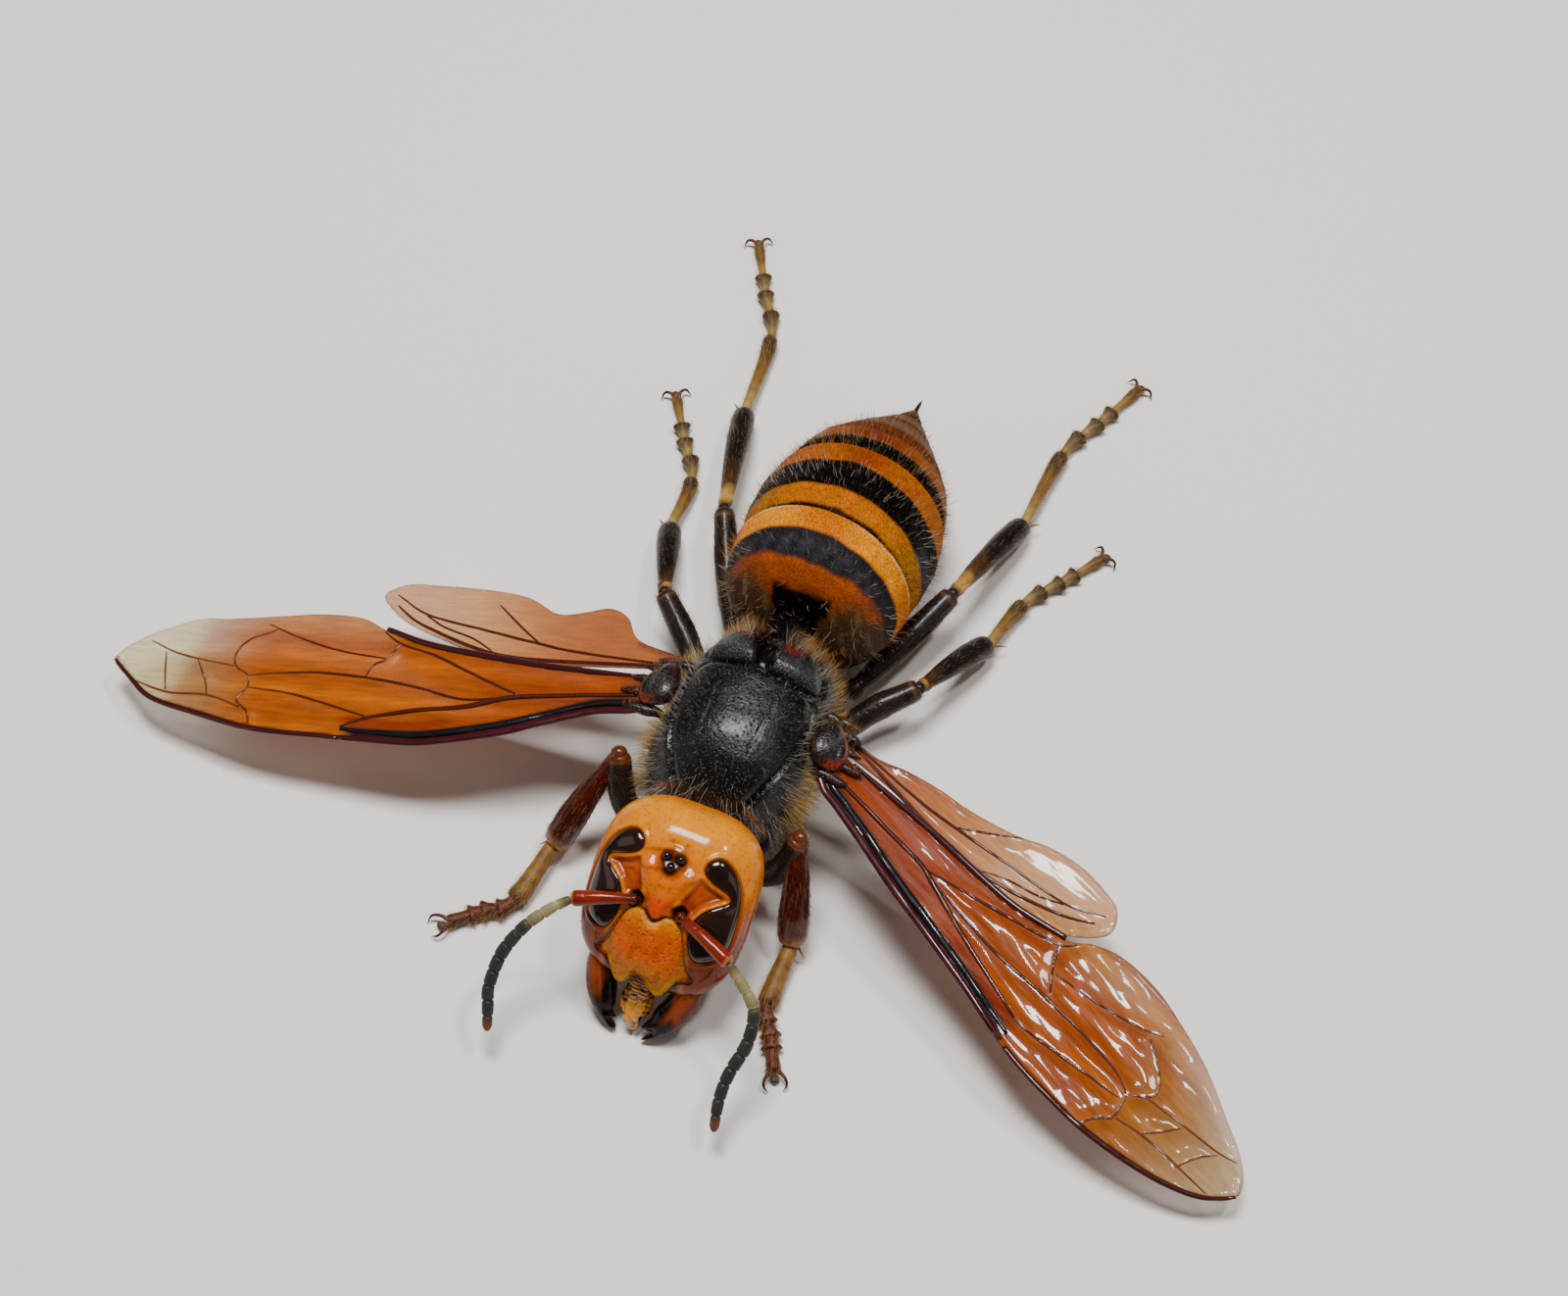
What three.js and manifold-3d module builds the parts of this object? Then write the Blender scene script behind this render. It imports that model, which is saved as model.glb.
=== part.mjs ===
// Asian giant hornet, a queen lying with wings and legs spread, at life size.
// Millimetres. +Z is up, the head points to -Y, the hornet's left side is +X.
// The body is laid out in thorax axes, with x = 0 in its middle plane and z = 0 on the ground,
// and the whole group is then moved so that the origin is the flat under the gaster.

import * as THREE from 'three';
import { mergeVertices } from 'three/addons/utils/BufferGeometryUtils.js';
import Module from 'manifold-3d';

const wasm = await Module();
wasm.setup();

// Clearance that separate plates and joints keep
const GAP = 0.3;
const HALF_GAP = GAP / 2;

// Origin: the middle of the gaster's resting flat, in thorax axes
const REST_Y = 23;

// Head capsule, in face axes: y runs up the face, z stands out of it
const FACE_TILT = THREE.MathUtils.degToRad(43);
const FACE_ORIGIN = new THREE.Vector3(0.05, -11.3, 6.6);
const HEAD = { halfWidth: 5.6, halfHeight: 6.1, halfDepth: 3.25, middleY: 0.95, squareness: 3.2 };
const EYE_DEPTH = 0.95;
const EYE_BULGE = 0.15;
const EYE_FLOOR = 0.5;
const CLYPEUS = {
  halfWidth: 5.6, halfHeight: 8.66, halfDepth: 4.5, middleY: 0.5, middleZ: -1.05, thick: 1.1,
};
const SOCKET = { x: 1.4, y: 1.13, z: 3.1 };

// Thorax
const THORAX = {
  halfWidth: 5.5, halfLength: 7.95, halfDepth: 5.3, middleY: 1.65, middleZ: 7.6, squareness: 2.4,
};
const SCUTUM_FLOOR = 8.4;
const PRONOTUM_FLOOR = 5.4;
const PRONOTUM_REAR = 0.6;
const PROPODEUM_FRONT = 6.4;

// Gaster: a straight axis that drops to the rear, and the distances along it
const GASTER_START = new THREE.Vector3(0, 9.72, 9.0);
const GASTER_PITCH = THREE.MathUtils.degToRad(14);
const BELLY_FLATNESS = 0.95;

// Wings
const MEMBRANE = 0.5;
const VEIN_HEIGHT = 0.42;
const VEIN_WIDTH = 0.17;

const point = (x, y, z) => new THREE.Vector3(x, y, z);
const UP = point(0, 0, 1);

// Solids

function solid(geometry) {
  const bare = geometry.clone();
  bare.deleteAttribute('normal');
  bare.deleteAttribute('uv');
  const merged = mergeVertices(bare, 1e-5);
  return new wasm.Manifold(new wasm.Mesh({
    numProp: 3,
    vertProperties: new Float32Array(merged.attributes.position.array),
    triVerts: new Uint32Array(merged.index.array),
  }));
}

function largest(body) {
  const pieces = body.decompose();
  return pieces.reduce((best, piece) => (piece.volume() > best.volume() ? piece : best));
}

function surface(body) {
  const mesh = largest(body).getMesh();
  const geometry = new THREE.BufferGeometry();
  geometry.setAttribute('position', new THREE.BufferAttribute(mesh.vertProperties, 3));
  geometry.setIndex(new THREE.BufferAttribute(mesh.triVerts, 1));
  geometry.computeVertexNormals();
  return geometry;
}

function reshape(geometry, place) {
  const positions = geometry.attributes.position;
  const p = new THREE.Vector3();
  for (let i = 0; i < positions.count; i += 1) {
    p.fromBufferAttribute(positions, i);
    const q = place(p);
    positions.setXYZ(i, q.x, q.y, q.z);
  }
  return geometry;
}

const signedPower = (value, power) => Math.sign(value) * Math.abs(value) ** power;

// How wide a superellipse of that squareness is at a height from -1 to 1
const superWidth = (height, squareness) => (1 - Math.abs(height) ** squareness) ** (1 / squareness);

// An ellipsoid about a centre
function blob(centre, radii, columns = 14, rows = 10) {
  const ball = new THREE.SphereGeometry(1, columns, rows);
  return solid(reshape(ball, (p) => p.multiply(radii).add(centre)));
}

const round = (side, up) => [side, up];

// A limb: rings of the stations' radii along a smooth path, each station a share of its length
function limb(path, stations, { sides = 8, flat = 1, grow = 0, section = round, up = UP } = {}) {
  const curve = new THREE.CatmullRomCurve3(path, false, 'catmullrom', 0.5);
  const steps = stations.length - 1;
  const tube = new THREE.CylinderGeometry(1, 1, 1, sides, steps);
  return solid(reshape(tube, (p) => {
    const row = Math.round((0.5 - p.y) * steps);
    const [share, radius] = stations[row];
    const along = curve.getTangentAt(share);
    const side = up.clone().cross(along).normalize();
    const lift = along.clone().cross(side);
    const reach = row === 0 ? -grow : (row === steps ? grow : 0);
    const [across, high] = section(p.x, p.z);
    return curve.getPointAt(share)
      .addScaledVector(along, reach)
      .addScaledVector(side, across * (radius + grow))
      .addScaledVector(lift, high * (radius * flat + grow));
  }));
}

// A closed outline through a few points, moved outwards by grow
function outline(points, grow, divisions, tension = 0.5) {
  const corners = points.map(([x, y]) => point(x, y, 0));
  const curve = new THREE.CatmullRomCurve3(corners, true, 'catmullrom', tension);
  const area = THREE.ShapeUtils.area(corners);
  const turn = Math.sign(area);
  const ring = [];
  for (let i = 0; i < divisions; i += 1) {
    const share = i / divisions;
    const along = curve.getTangentAt(share);
    const here = curve.getPointAt(share);
    ring.push(new THREE.Vector2(here.x + along.y * turn * grow, here.y - along.x * turn * grow));
  }
  return new THREE.Shape(ring);
}

function prism(shape, low, high) {
  const block = new THREE.ExtrudeGeometry(shape, { depth: high - low, bevelEnabled: false });
  return solid(block.translate(0, 0, low));
}

function box(low, high) {
  const block = new THREE.BoxGeometry(high.x - low.x, high.y - low.y, high.z - low.z);
  const middle = low.clone().add(high).multiplyScalar(0.5);
  return solid(block.translate(middle.x, middle.y, middle.z));
}

const mirrored = (points) => points.map(([x, y]) => [-x, y]).reverse();
const bothSides = (half) => [...half, ...mirrored(half)];
const aboveFloor = (body) => body.trimByPlane([0, 0, 1], 0);

// Scene graph

const hornet = new THREE.Group();
const head = new THREE.Group();
hornet.position.set(0, -REST_Y, 0);
head.position.copy(FACE_ORIGIN);
head.rotation.x = FACE_TILT;
hornet.add(head);

const COLOURS = {
  amber: ['#e8940f', 0.35],
  clypeus: ['#d0660c', 0.4],
  eye: ['#20100a', 0.15],
  mandible: ['#8f3f0d', 0.3],
  tongue: ['#c98a26', 0.5],
  scape: ['#8a2f10', 0.25],
  flagellum: ['#2b2a26', 0.6],
  black: ['#17171a', 0.55],
  gaster: ['#c9730f', 0.45],
  dark: ['#2a1a10', 0.5],
  brown: ['#5c2410', 0.35],
  gold: ['#7a5320', 0.5],
  wing: ['#c9691a', 0.2],
};

function add(name, body, colour, parent = hornet) {
  const [color, roughness] = COLOURS[colour];
  const mesh = new THREE.Mesh(
    surface(body),
    new THREE.MeshStandardMaterial({ color, roughness, metalness: 0 }),
  );
  mesh.name = name;
  parent.add(mesh);
  return mesh;
}

const headToBody = new THREE.Matrix4()
  .makeRotationX(FACE_TILT)
  .setPosition(FACE_ORIGIN);
const bodyToFace = headToBody.clone().invert();
const faceToBody = (x, y, z) => point(x, y, z).applyMatrix4(headToBody);

// The neck joins the thorax to a hole in the back of the head
const NECK = [[0, 1.2], [1, 1.3]];
const NECK_PATH = [faceToBody(0, 0.9, -2.6), point(0.05, -5.2, 5.9)];

// Head capsule: a squared egg, deepest at the crown, whose middle leans back towards the top
function headForm(grow = 0, columns = 22, rows = 14) {
  const ball = new THREE.SphereGeometry(1, columns, rows);
  return solid(reshape(ball, (p) => {
    const ring = Math.hypot(p.x, p.z) || 1;
    const width = superWidth(Math.min(1, Math.abs(p.y)), HEAD.squareness);
    const y = HEAD.middleY + (HEAD.halfHeight + grow) * p.y;
    const shallow = 0.022 * Math.min(y - 2, 0) ** 2;
    const across = signedPower(p.x / ring, 0.83) * width;
    const out = signedPower(p.z / ring, 0.83) * width;
    return point(
      across * (HEAD.halfWidth + grow),
      y,
      0.1 - 0.12 * y + out * (HEAD.halfDepth - shallow + grow),
    );
  }));
}

// Half outlines in the face plane, from the top down on the left side
const EYE_OUTLINE = [
  [2.3, 4.3], [2.9, 5.3], [4.6, 4.75], [6.6, 3.4], [6.6, -1.0], [5.3, -2.2],
  [3.4, -2.15], [2.45, -1.1], [2.7, 1.0], [3.6, 1.9], [4.5, 2.55], [3.7, 3.2], [2.7, 3.5],
];
const CLYPEUS_HALF = [
  [0.9, 0.1], [2.0, 0.25], [2.5, -1.4], [3.9, -3.5], [2.6, -4.3], [1.5, -5.3], [0.5, -4.6],
];
const SHIELD_OUTLINE = [[-1.7, 3.4], [-1.2, 1.7], [0, 0.5], [1.2, 1.7], [1.7, 3.4], [0, 4.0]];
const MANDIBLE_OUTLINE = [
  [2.7, -4.9], [4.15, -4.5], [4.25, -6.4], [3.2, -8.2], [1.0, -9.5], [1.6, -8.5],
  [0.9, -8.3], [1.9, -7.4], [1.6, -6.6], [2.3, -5.8],
];

function clypeusForm(grow) {
  return blob(
    point(0, CLYPEUS.middleY, CLYPEUS.middleZ),
    point(CLYPEUS.halfWidth + grow, CLYPEUS.halfHeight + grow, CLYPEUS.halfDepth + grow),
    18,
    12,
  );
}

function eyeCutter(side, grow) {
  const points = side > 0 ? EYE_OUTLINE : mirrored(EYE_OUTLINE);
  return prism(outline(points, grow, 30, 0.3), EYE_FLOOR - grow, 7);
}

function eye(side) {
  return headForm(EYE_BULGE)
    .intersect(eyeCutter(side, -HALF_GAP))
    .subtract(headForm(-EYE_DEPTH, 16, 12));
}

function eyePocket(side) {
  return eyeCutter(side, HALF_GAP).subtract(headForm(-EYE_DEPTH - GAP, 16, 12));
}

function clypeus(grow = 0) {
  return clypeusForm(grow)
    .intersect(prism(outline(bothSides(CLYPEUS_HALF), grow - HALF_GAP, 32), -2, 8))
    .subtract(clypeusForm(-CLYPEUS.thick - grow));
}

// A mandible: a bowed, toothed blade, rounded over both faces, that thins from its hinge to its tip
function mandible(side, grow = 0) {
  const points = side > 0 ? MANDIBLE_OUTLINE : mirrored(MANDIBLE_OUTLINE);
  const blade = new THREE.ExtrudeGeometry(outline(points, grow, 28, 0.35), {
    depth: 2,
    steps: 4,
    bevelEnabled: false,
  });
  const middle = point(side * 2.7, -6.7, 0);
  return solid(reshape(blade, (p) => {
    const level = p.z - 1;
    const draw = Math.abs(level) > 0.75 ? 0.82 : 1;
    const toTip = THREE.MathUtils.clamp((-4.5 - p.y) / 5, 0, 1);
    const thick = THREE.MathUtils.lerp(1.2, 0.45, toTip) + grow;
    return point(
      THREE.MathUtils.lerp(middle.x, p.x, draw),
      THREE.MathUtils.lerp(middle.y, p.y, draw),
      0.5 - 0.35 * toTip + Math.sign(level) * Math.min(1, Math.abs(level) * 1.3) * thick,
    );
  }));
}

function ocelli() {
  const places = [point(-0.5, 4.6, 2.62), point(0.5, 4.6, 2.62), point(0, 3.9, 2.85)];
  return places.map((place) => blob(place, point(0.32, 0.32, 0.32), 8, 6));
}

function makeHead() {
  const neckHole = limb(NECK_PATH, NECK, { grow: GAP }).transform(bodyToFace.elements);
  const shield = headForm(0.25).intersect(prism(outline(SHIELD_OUTLINE, 0, 16), 1, 6));
  let capsule = headForm().add(shield);
  ocelli().forEach((ocellus) => {
    capsule = capsule.add(ocellus);
  });
  capsule = capsule
    .subtract(eyePocket(1))
    .subtract(eyePocket(-1))
    .subtract(clypeus(GAP + HALF_GAP))
    .subtract(mandible(1, GAP))
    .subtract(mandible(-1, GAP))
    .subtract(neckHole);
  const plate = clypeus();
  const tongue = limb(
    [point(-0.15, -4.6, 0.3), point(-0.2, -6.9, 0.3), point(-0.1, -8.9, 0.1)],
    [[0, 0.9], [0.3, 0.95], [0.7, 0.75], [0.9, 0.55], [1, 0.3]],
    { flat: 0.6 },
  );
  add('head', capsule, 'amber', head);
  add('clypeus', plate, 'clypeus', head);
  [['left', 1], ['right', -1]].forEach(([name, side]) => {
    add(`eye_${name}`, eye(side), 'eye', head);
    add(`mandible_${name}`, mandible(side).subtract(clypeus(GAP)), 'mandible', head);
  });
  const clear = tongue
    .subtract(headForm(GAP))
    .subtract(clypeus(GAP))
    .subtract(mandible(1, GAP))
    .subtract(mandible(-1, GAP));
  add('mouthparts', clear, 'tongue', head);
}

// Antennae: a stout scape out of each socket, then ten flagellar segments that droop forward
const SCAPE_ENDS = { right: point(-5.43, -14.21, 9.4), left: point(5.85, -14.5, 9.4) };
const FLAGELLA = {
  right: [
    [-5.67, -14.48, 9.3], [-6.62, -15.36, 8.9], [-7.78, -16.68, 8.0], [-8.7, -18.42, 6.6],
    [-8.91, -20.24, 5.0], [-8.62, -21.17, 4.2], [-8.16, -22.5, 3.1],
  ],
  left: [
    [6.1, -14.7, 9.2], [7.75, -15.7, 8.1], [8.4, -16.5, 7.3], [8.5, -18.0, 6.0],
    [8.0, -19.9, 4.7], [7.95, -21.4, 3.7], [8.28, -23.09, 2.6],
  ],
};
const FLAGELLOMERES = 10;

function scapePath(side, end) {
  const start = faceToBody(side * SOCKET.x, SOCKET.y, SOCKET.z + 0.45);
  return [start, start.clone().lerp(end, 0.5).add(point(0, 0, 0.15)), end];
}

const SCAPE_STATIONS = [[0, 0.3], [0.08, 0.42], [0.14, 0.36], [0.55, 0.45], [0.95, 0.54], [1, 0.42]];

// Each segment swells a little towards its end, and the last tapers to a blunt tip
function flagellumStations() {
  const stations = [];
  for (let i = 0; i < FLAGELLOMERES; i += 1) {
    const start = i === 0 ? 0 : i / FLAGELLOMERES + 0.004;
    const end = (i + 1) / FLAGELLOMERES;
    const girth = i === 0 ? 0.36 : 0.44 - 0.012 * Math.abs(i - 5);
    stations.push([start, girth - 0.08], [end, i === FLAGELLOMERES - 1 ? 0.2 : girth]);
  }
  return stations;
}

function makeAntennae() {
  Object.entries(SCAPE_ENDS).forEach(([name, end]) => {
    const side = name === 'left' ? 1 : -1;
    const path = scapePath(side, end);
    const scape = limb(path, SCAPE_STATIONS, { sides: 8 });
    const grown = limb(path, SCAPE_STATIONS, { sides: 8, grow: GAP });
    const flagellum = limb(FLAGELLA[name].map((p) => point(...p)), flagellumStations(), { sides: 7 });
    add(`scape_${name}`, scape.subtract(headForm(GAP).transform(headToBody.elements)), 'scape');
    add(`flagellum_${name}`, flagellum.subtract(grown), 'flagellum');
  });
}

// Thorax: one domed form, parted into its plates
function thoraxForm(grow = 0, columns = 24, rows = 16) {
  const ball = new THREE.SphereGeometry(1, columns, rows);
  return solid(reshape(ball, (p) => {
    const ring = Math.hypot(p.x, p.z) || 1;
    const width = superWidth(Math.min(1, Math.abs(p.y)), THORAX.squareness);
    const y = THORAX.middleY + (THORAX.halfLength + grow) * p.y;
    const sunk = 0.055 * Math.min(y, 0) ** 2;
    const shoulder = 1 + 0.02 * THREE.MathUtils.clamp(1.5 - y, 0, 4);
    return point(
      signedPower(p.x / ring, 0.91) * width * (THORAX.halfWidth * shoulder + grow),
      y,
      THORAX.middleZ - sunk + signedPower(p.z / ring, 0.91) * width * (THORAX.halfDepth + grow),
    );
  }));
}

const thoraxClearance = thoraxForm(GAP);
const SCUTUM_HALF = [
  [0.01, -5.6], [2.3, -4.7], [4.0, -2.2], [4.6, 0.6], [4.45, 3.0], [3.6, 4.9], [1.2, 5.1],
];
const SCUTELLUM_HALF = [[0.01, 5.2], [2.2, 5.2], [4.2, 4.6], [4.6, 6.0], [3.4, 7.6], [1.4, 8.3]];

// Cuts a plate out of what is left of the thorax: [the plate, the rest with its clearance]
function plateFrom(rest, half, floor) {
  const inner = prism(outline(bothSides(half), -HALF_GAP, 30), floor + HALF_GAP, 20);
  const outer = prism(outline(bothSides(half), HALF_GAP, 30), floor - HALF_GAP, 20);
  return [rest.intersect(inner), rest.subtract(outer)];
}

function makeThorax() {
  const headHollow = headForm(GAP).transform(headToBody.elements);
  let rest = thoraxForm().subtract(headHollow).add(limb(NECK_PATH, NECK));
  let scutum;
  let scutellum;
  [scutum, rest] = plateFrom(rest, SCUTUM_HALF, SCUTUM_FLOOR);
  [scutellum, rest] = plateFrom(rest, SCUTELLUM_HALF, SCUTUM_FLOOR);
  const groove = box(point(-0.3, 5, 10.6), point(0.3, 9, 14));
  const [rear, front] = rest.splitByPlane([0, 1, 0], PROPODEUM_FRONT);
  const propodeum = rear.trimByPlane([0, 1, 0], PROPODEUM_FRONT + HALF_GAP);
  rest = front.trimByPlane([0, -1, 0], -(PROPODEUM_FRONT - HALF_GAP));
  const collar = (grow) => box(
    point(-9, -9, PRONOTUM_FLOOR - grow),
    point(9, PRONOTUM_REAR + grow, 20),
  );
  add('mesoscutum', scutum, 'black');
  add('scutellum', scutellum.subtract(groove), 'black');
  add('propodeum', propodeum, 'black');
  add('pronotum', rest.intersect(collar(-HALF_GAP)), 'black');
  add('mesopleura', rest.subtract(collar(HALF_GAP)), 'black');
}

// Gaster: six telescoping segments, each [share of the axis in mm, radius] from front to rear
const SEGMENTS = [
  [
    [0, 0.9], [0.8, 1.1], [1.1, 2.4], [1.45, 4.0], [2.0, 5.1],
    [3.0, 5.95], [4.4, 6.4], [5.75, 6.5], [5.9, 6.42],
  ],
  [[6.2, 6.15], [6.75, 6.5], [8.6, 6.85], [10.8, 6.9], [12.75, 6.6], [12.9, 6.5]],
  [[13.2, 6.2], [14.0, 6.25], [15.4, 5.95], [16.65, 5.5], [16.8, 5.4]],
  [[17.1, 5.05], [18.2, 4.65], [19.8, 3.6], [19.95, 3.5]],
  [[20.25, 3.2], [21.4, 2.6], [22.55, 1.8], [22.7, 1.7]],
  [[23.0, 1.45], [24.0, 0.9], [24.8, 0.5], [25.1, 0.3]],
];
const STING = [[25.4, 0.24], [26.0, 0.18], [26.7, 0.06]];
const GASTER_AXIS = point(0, Math.cos(GASTER_PITCH), -Math.sin(GASTER_PITCH));
const bellied = (side, up) => [side, up < 0 ? up * BELLY_FLATNESS : up];

function drum(stations, sides) {
  const first = stations[0][0];
  const length = stations[stations.length - 1][0] - first;
  const start = GASTER_START.clone().addScaledVector(GASTER_AXIS, first);
  const end = start.clone().addScaledVector(GASTER_AXIS, length);
  const shares = stations.map(([along, radius]) => [(along - first) / length, radius]);
  return limb([start, end], shares, { sides, section: bellied });
}

function makeGaster() {
  SEGMENTS.forEach((stations, i) => {
    add(`gaster_${i + 1}`, aboveFloor(drum(stations, 26)), 'gaster');
  });
  add('sting', drum(STING, 6), 'dark');
}

// Legs: the hip is inside the thorax, the rest are joints in thorax axes
const LEGS = {
  front_right: {
    hip: [-1.7, -3.7, 4.6], trochanter: [-3.0, -5.7, 2.7], bow: [-6.0, -4.7, 5.2],
    knee: [-7.27, -2.6, 8.0], ankle: [-10.18, -7.69, 1.6],
    basitarsus: [-11.16, -12.39, 0.8], toe: [-14.68, -15.45, 0.5],
    colours: ['dark', 'brown', 'gold'],
  },
  front_left: {
    hip: [1.7, -3.7, 4.6], trochanter: [3.0, -5.7, 2.7], bow: [5.6, -5.2, 5.2],
    knee: [6.48, -3.92, 8.2], ankle: [7.71, -8.4, 1.6],
    basitarsus: [7.8, -12.9, 0.8], toe: [9.98, -17.0, 0.5],
    colours: ['dark', 'brown', 'gold'],
  },
  middle_right: {
    hip: [-2.5, 2.8, 3.8], trochanter: [-4.5, 5.8, 2.1], bow: [-7.4, 9.2, 3.4],
    knee: [-10.56, 12.19, 4.2], ankle: [-13.14, 18.91, 1.4],
    basitarsus: [-13.52, 23.72, 0.8], toe: [-17.52, 30.1, 0.5],
    colours: ['black', 'dark', 'gold'],
  },
  middle_left: {
    hip: [2.5, 2.8, 3.8], trochanter: [4.0, 5.6, 2.1], bow: [6.2, 9.0, 3.4],
    knee: [8.95, 11.83, 4.2], ankle: [11.7, 18.56, 1.4],
    basitarsus: [12.83, 23.05, 0.8], toe: [16.7, 28.9, 0.5],
    colours: ['black', 'dark', 'gold'],
  },
  hind_right: {
    hip: [-2.1, 6.0, 4.2], trochanter: [-4.2, 10.2, 2.4], bow: [-6.9, 15.2, 3.4],
    knee: [-9.31, 20.09, 4.5], ankle: [-12.08, 30.38, 1.4],
    basitarsus: [-13.06, 37.84, 0.8], toe: [-17.3, 45.6, 0.5],
    colours: ['black', 'dark', 'gold'],
  },
  hind_left: {
    hip: [2.1, 6.0, 4.2], trochanter: [4.2, 10.2, 2.4], bow: [6.4, 15.0, 3.4],
    knee: [8.42, 19.69, 4.5], ankle: [10.53, 28.99, 1.4],
    basitarsus: [11.04, 36.33, 0.8], toe: [14.2, 43.95, 0.5],
    colours: ['black', 'dark', 'gold'],
  },
};

const COXA = [[0, 1.25], [0.45, 1.3], [0.85, 0.95], [1, 0.7]];
const FEMUR = [[0, 0.55], [0.06, 0.75], [0.14, 0.62], [0.3, 0.85], [0.65, 0.92], [0.93, 0.72], [1, 0.5]];
const TIBIA = [[0, 0.45], [0.08, 0.52], [0.35, 0.72], [0.7, 0.88], [0.94, 0.82], [1, 0.6]];
const TOE_SHARES = [0.3, 0.52, 0.7, 1];
const CLAW_LENGTH = 1.2;

// Five segments that each flare towards their end; the first is as long as the others together
function tarsusStations(firstShare) {
  const ends = [firstShare, ...TOE_SHARES.map((share) => firstShare + (1 - firstShare) * share)];
  const stations = [];
  let start = 0;
  ends.forEach((end, i) => {
    const girth = i === 0 ? 0.52 : 0.55;
    stations.push([start, 0.31], [start + (end - start) * 0.6, 0.38], [end - 0.006, girth]);
    start = end + 0.006;
  });
  return stations;
}

// Two hooked claws that spread from the last toe segment and turn down at their tips
function claws(toe, along) {
  const across = UP.clone().cross(along).normalize();
  return [-1, 1].map((side) => {
    const at = (forward, out, high) => toe.clone()
      .addScaledVector(along, forward * CLAW_LENGTH)
      .addScaledVector(across, side * out)
      .setZ(high);
    const path = [at(-0.2, 0.1, 0.45), at(0.35, 0.45, 0.62), at(0.8, 0.75, 0.55), at(1, 0.8, 0.2)];
    return limb(path, [[0, 0.22], [0.4, 0.19], [0.75, 0.14], [1, 0.06]], { sides: 4 });
  });
}

function spurs(path, side) {
  const curve = new THREE.CatmullRomCurve3(path, false, 'catmullrom', 0.5);
  const root = curve.getPointAt(0.94);
  const along = curve.getTangentAt(0.94);
  const across = UP.clone().cross(along).normalize().multiplyScalar(side);
  const tip = root.clone().addScaledVector(along, 1.7).addScaledVector(across, 1.1);
  return limb([root, tip], [[0, 0.3], [0.6, 0.2], [1, 0.06]], { sides: 5 });
}

function makeLegs() {
  Object.entries(LEGS).forEach(([name, leg]) => {
    const joint = (key) => point(...leg[key]);
    const inward = Math.sign(leg.hip[0]) * (name.startsWith('front') ? 1 : -1);
    const shin = joint('knee').lerp(joint('ankle'), 0.5).add(point(0, 0, 0.25));
    const shank = [joint('knee'), shin, joint('ankle')];
    const thigh = [joint('trochanter'), joint('bow'), joint('knee')];
    const hip = [joint('hip'), joint('trochanter')];
    const bend = joint('basitarsus').lerp(joint('toe'), 0.5);
    const foot = [joint('ankle'), joint('basitarsus'), bend, joint('toe')];
    const curve = new THREE.CatmullRomCurve3(foot, false, 'catmullrom', 0.5);
    const firstShare = joint('ankle').distanceTo(joint('basitarsus')) / curve.getLength();
    const along = curve.getTangentAt(1);
    const coxa = limb(hip, COXA).subtract(thoraxClearance);
    const femur = limb(thigh, FEMUR)
      .subtract(limb(hip, COXA, { grow: GAP }))
      .subtract(thoraxClearance);
    const tibia = limb(shank, TIBIA)
      .add(spurs(shank, inward))
      .subtract(limb(thigh, FEMUR, { grow: GAP }));
    let tarsus = limb(foot, tarsusStations(firstShare), { sides: 6 });
    claws(joint('toe'), along).forEach((claw) => {
      tarsus = tarsus.add(claw);
    });
    tarsus = tarsus
      .subtract(limb(shank, TIBIA, { grow: GAP }))
      .subtract(spurs(shank, inward));
    add(`coxa_${name}`, coxa, leg.colours[0]);
    add(`femur_${name}`, femur, leg.colours[0]);
    add(`tibia_${name}`, tibia, leg.colours[1]);
    add(`tarsus_${name}`, aboveFloor(tarsus), leg.colours[2]);
  });
}

// Wings. Each lies in a plane: s runs from root to tip and c towards the trailing edge.
const WINGS = {
  right: { root: point(-7.46, 1.81, 9.8), tip: point(-44.28, -7.17, 3.0) },
  left: { root: point(7.05, 1.2, 9.8), tip: point(41.44, -14.24, 1.96) },
};
const HINDWING_DROP = 0.8;
const FOREWING_OUTLINE = [
  [-1.9, -0.6], [3.6, -2.2], [7.3, -3.3], [11.1, -4.4], [14.6, -5.1], [18.5, -5.2], [22.8, -5.1],
  [27.4, -4.5], [31, -3.9], [34, -3.1], [36.7, -1.6], [38.3, 0.1], [36.4, 2.3], [33.7, 3.6],
  [30.5, 4.4], [27, 4.8], [23.5, 4.8], [21, 4.3], [17.5, 2.8], [12.4, 1.6], [5.5, 1.0], [-1.9, 0.6],
];
const HINDWING_OUTLINES = {
  right: [
    [-2.8, 1.5], [0, 1.8], [6.6, 1.7], [10.2, 1.8], [12.8, 2.5], [15.2, 3.4], [17.6, 4.4], [19.3, 5.6],
    [20.2, 6.9], [18.6, 7.8], [16.1, 7.8], [12.5, 7.6], [9.6, 7.1], [7.3, 5.9], [5.4, 6.1], [3.6, 6.5],
    [2.2, 5.8], [1.0, 4.0], [-2.8, 2.6],
  ],
  left: [
    [-2.8, 1.0], [0.2, 1.4], [3.6, 1.9], [7.2, 2.0], [11.7, 2.4], [13.9, 2.7], [17.1, 3.3], [18.9, 4.4],
    [20.2, 6.2], [19.5, 7.7], [18.2, 8.1], [15.8, 8.1], [13.3, 7.4], [10.9, 6.1], [7.8, 5.0], [5.6, 4.5],
    [3.2, 3.7], [1.0, 2.7], [-2.8, 2.0],
  ],
};
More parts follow.
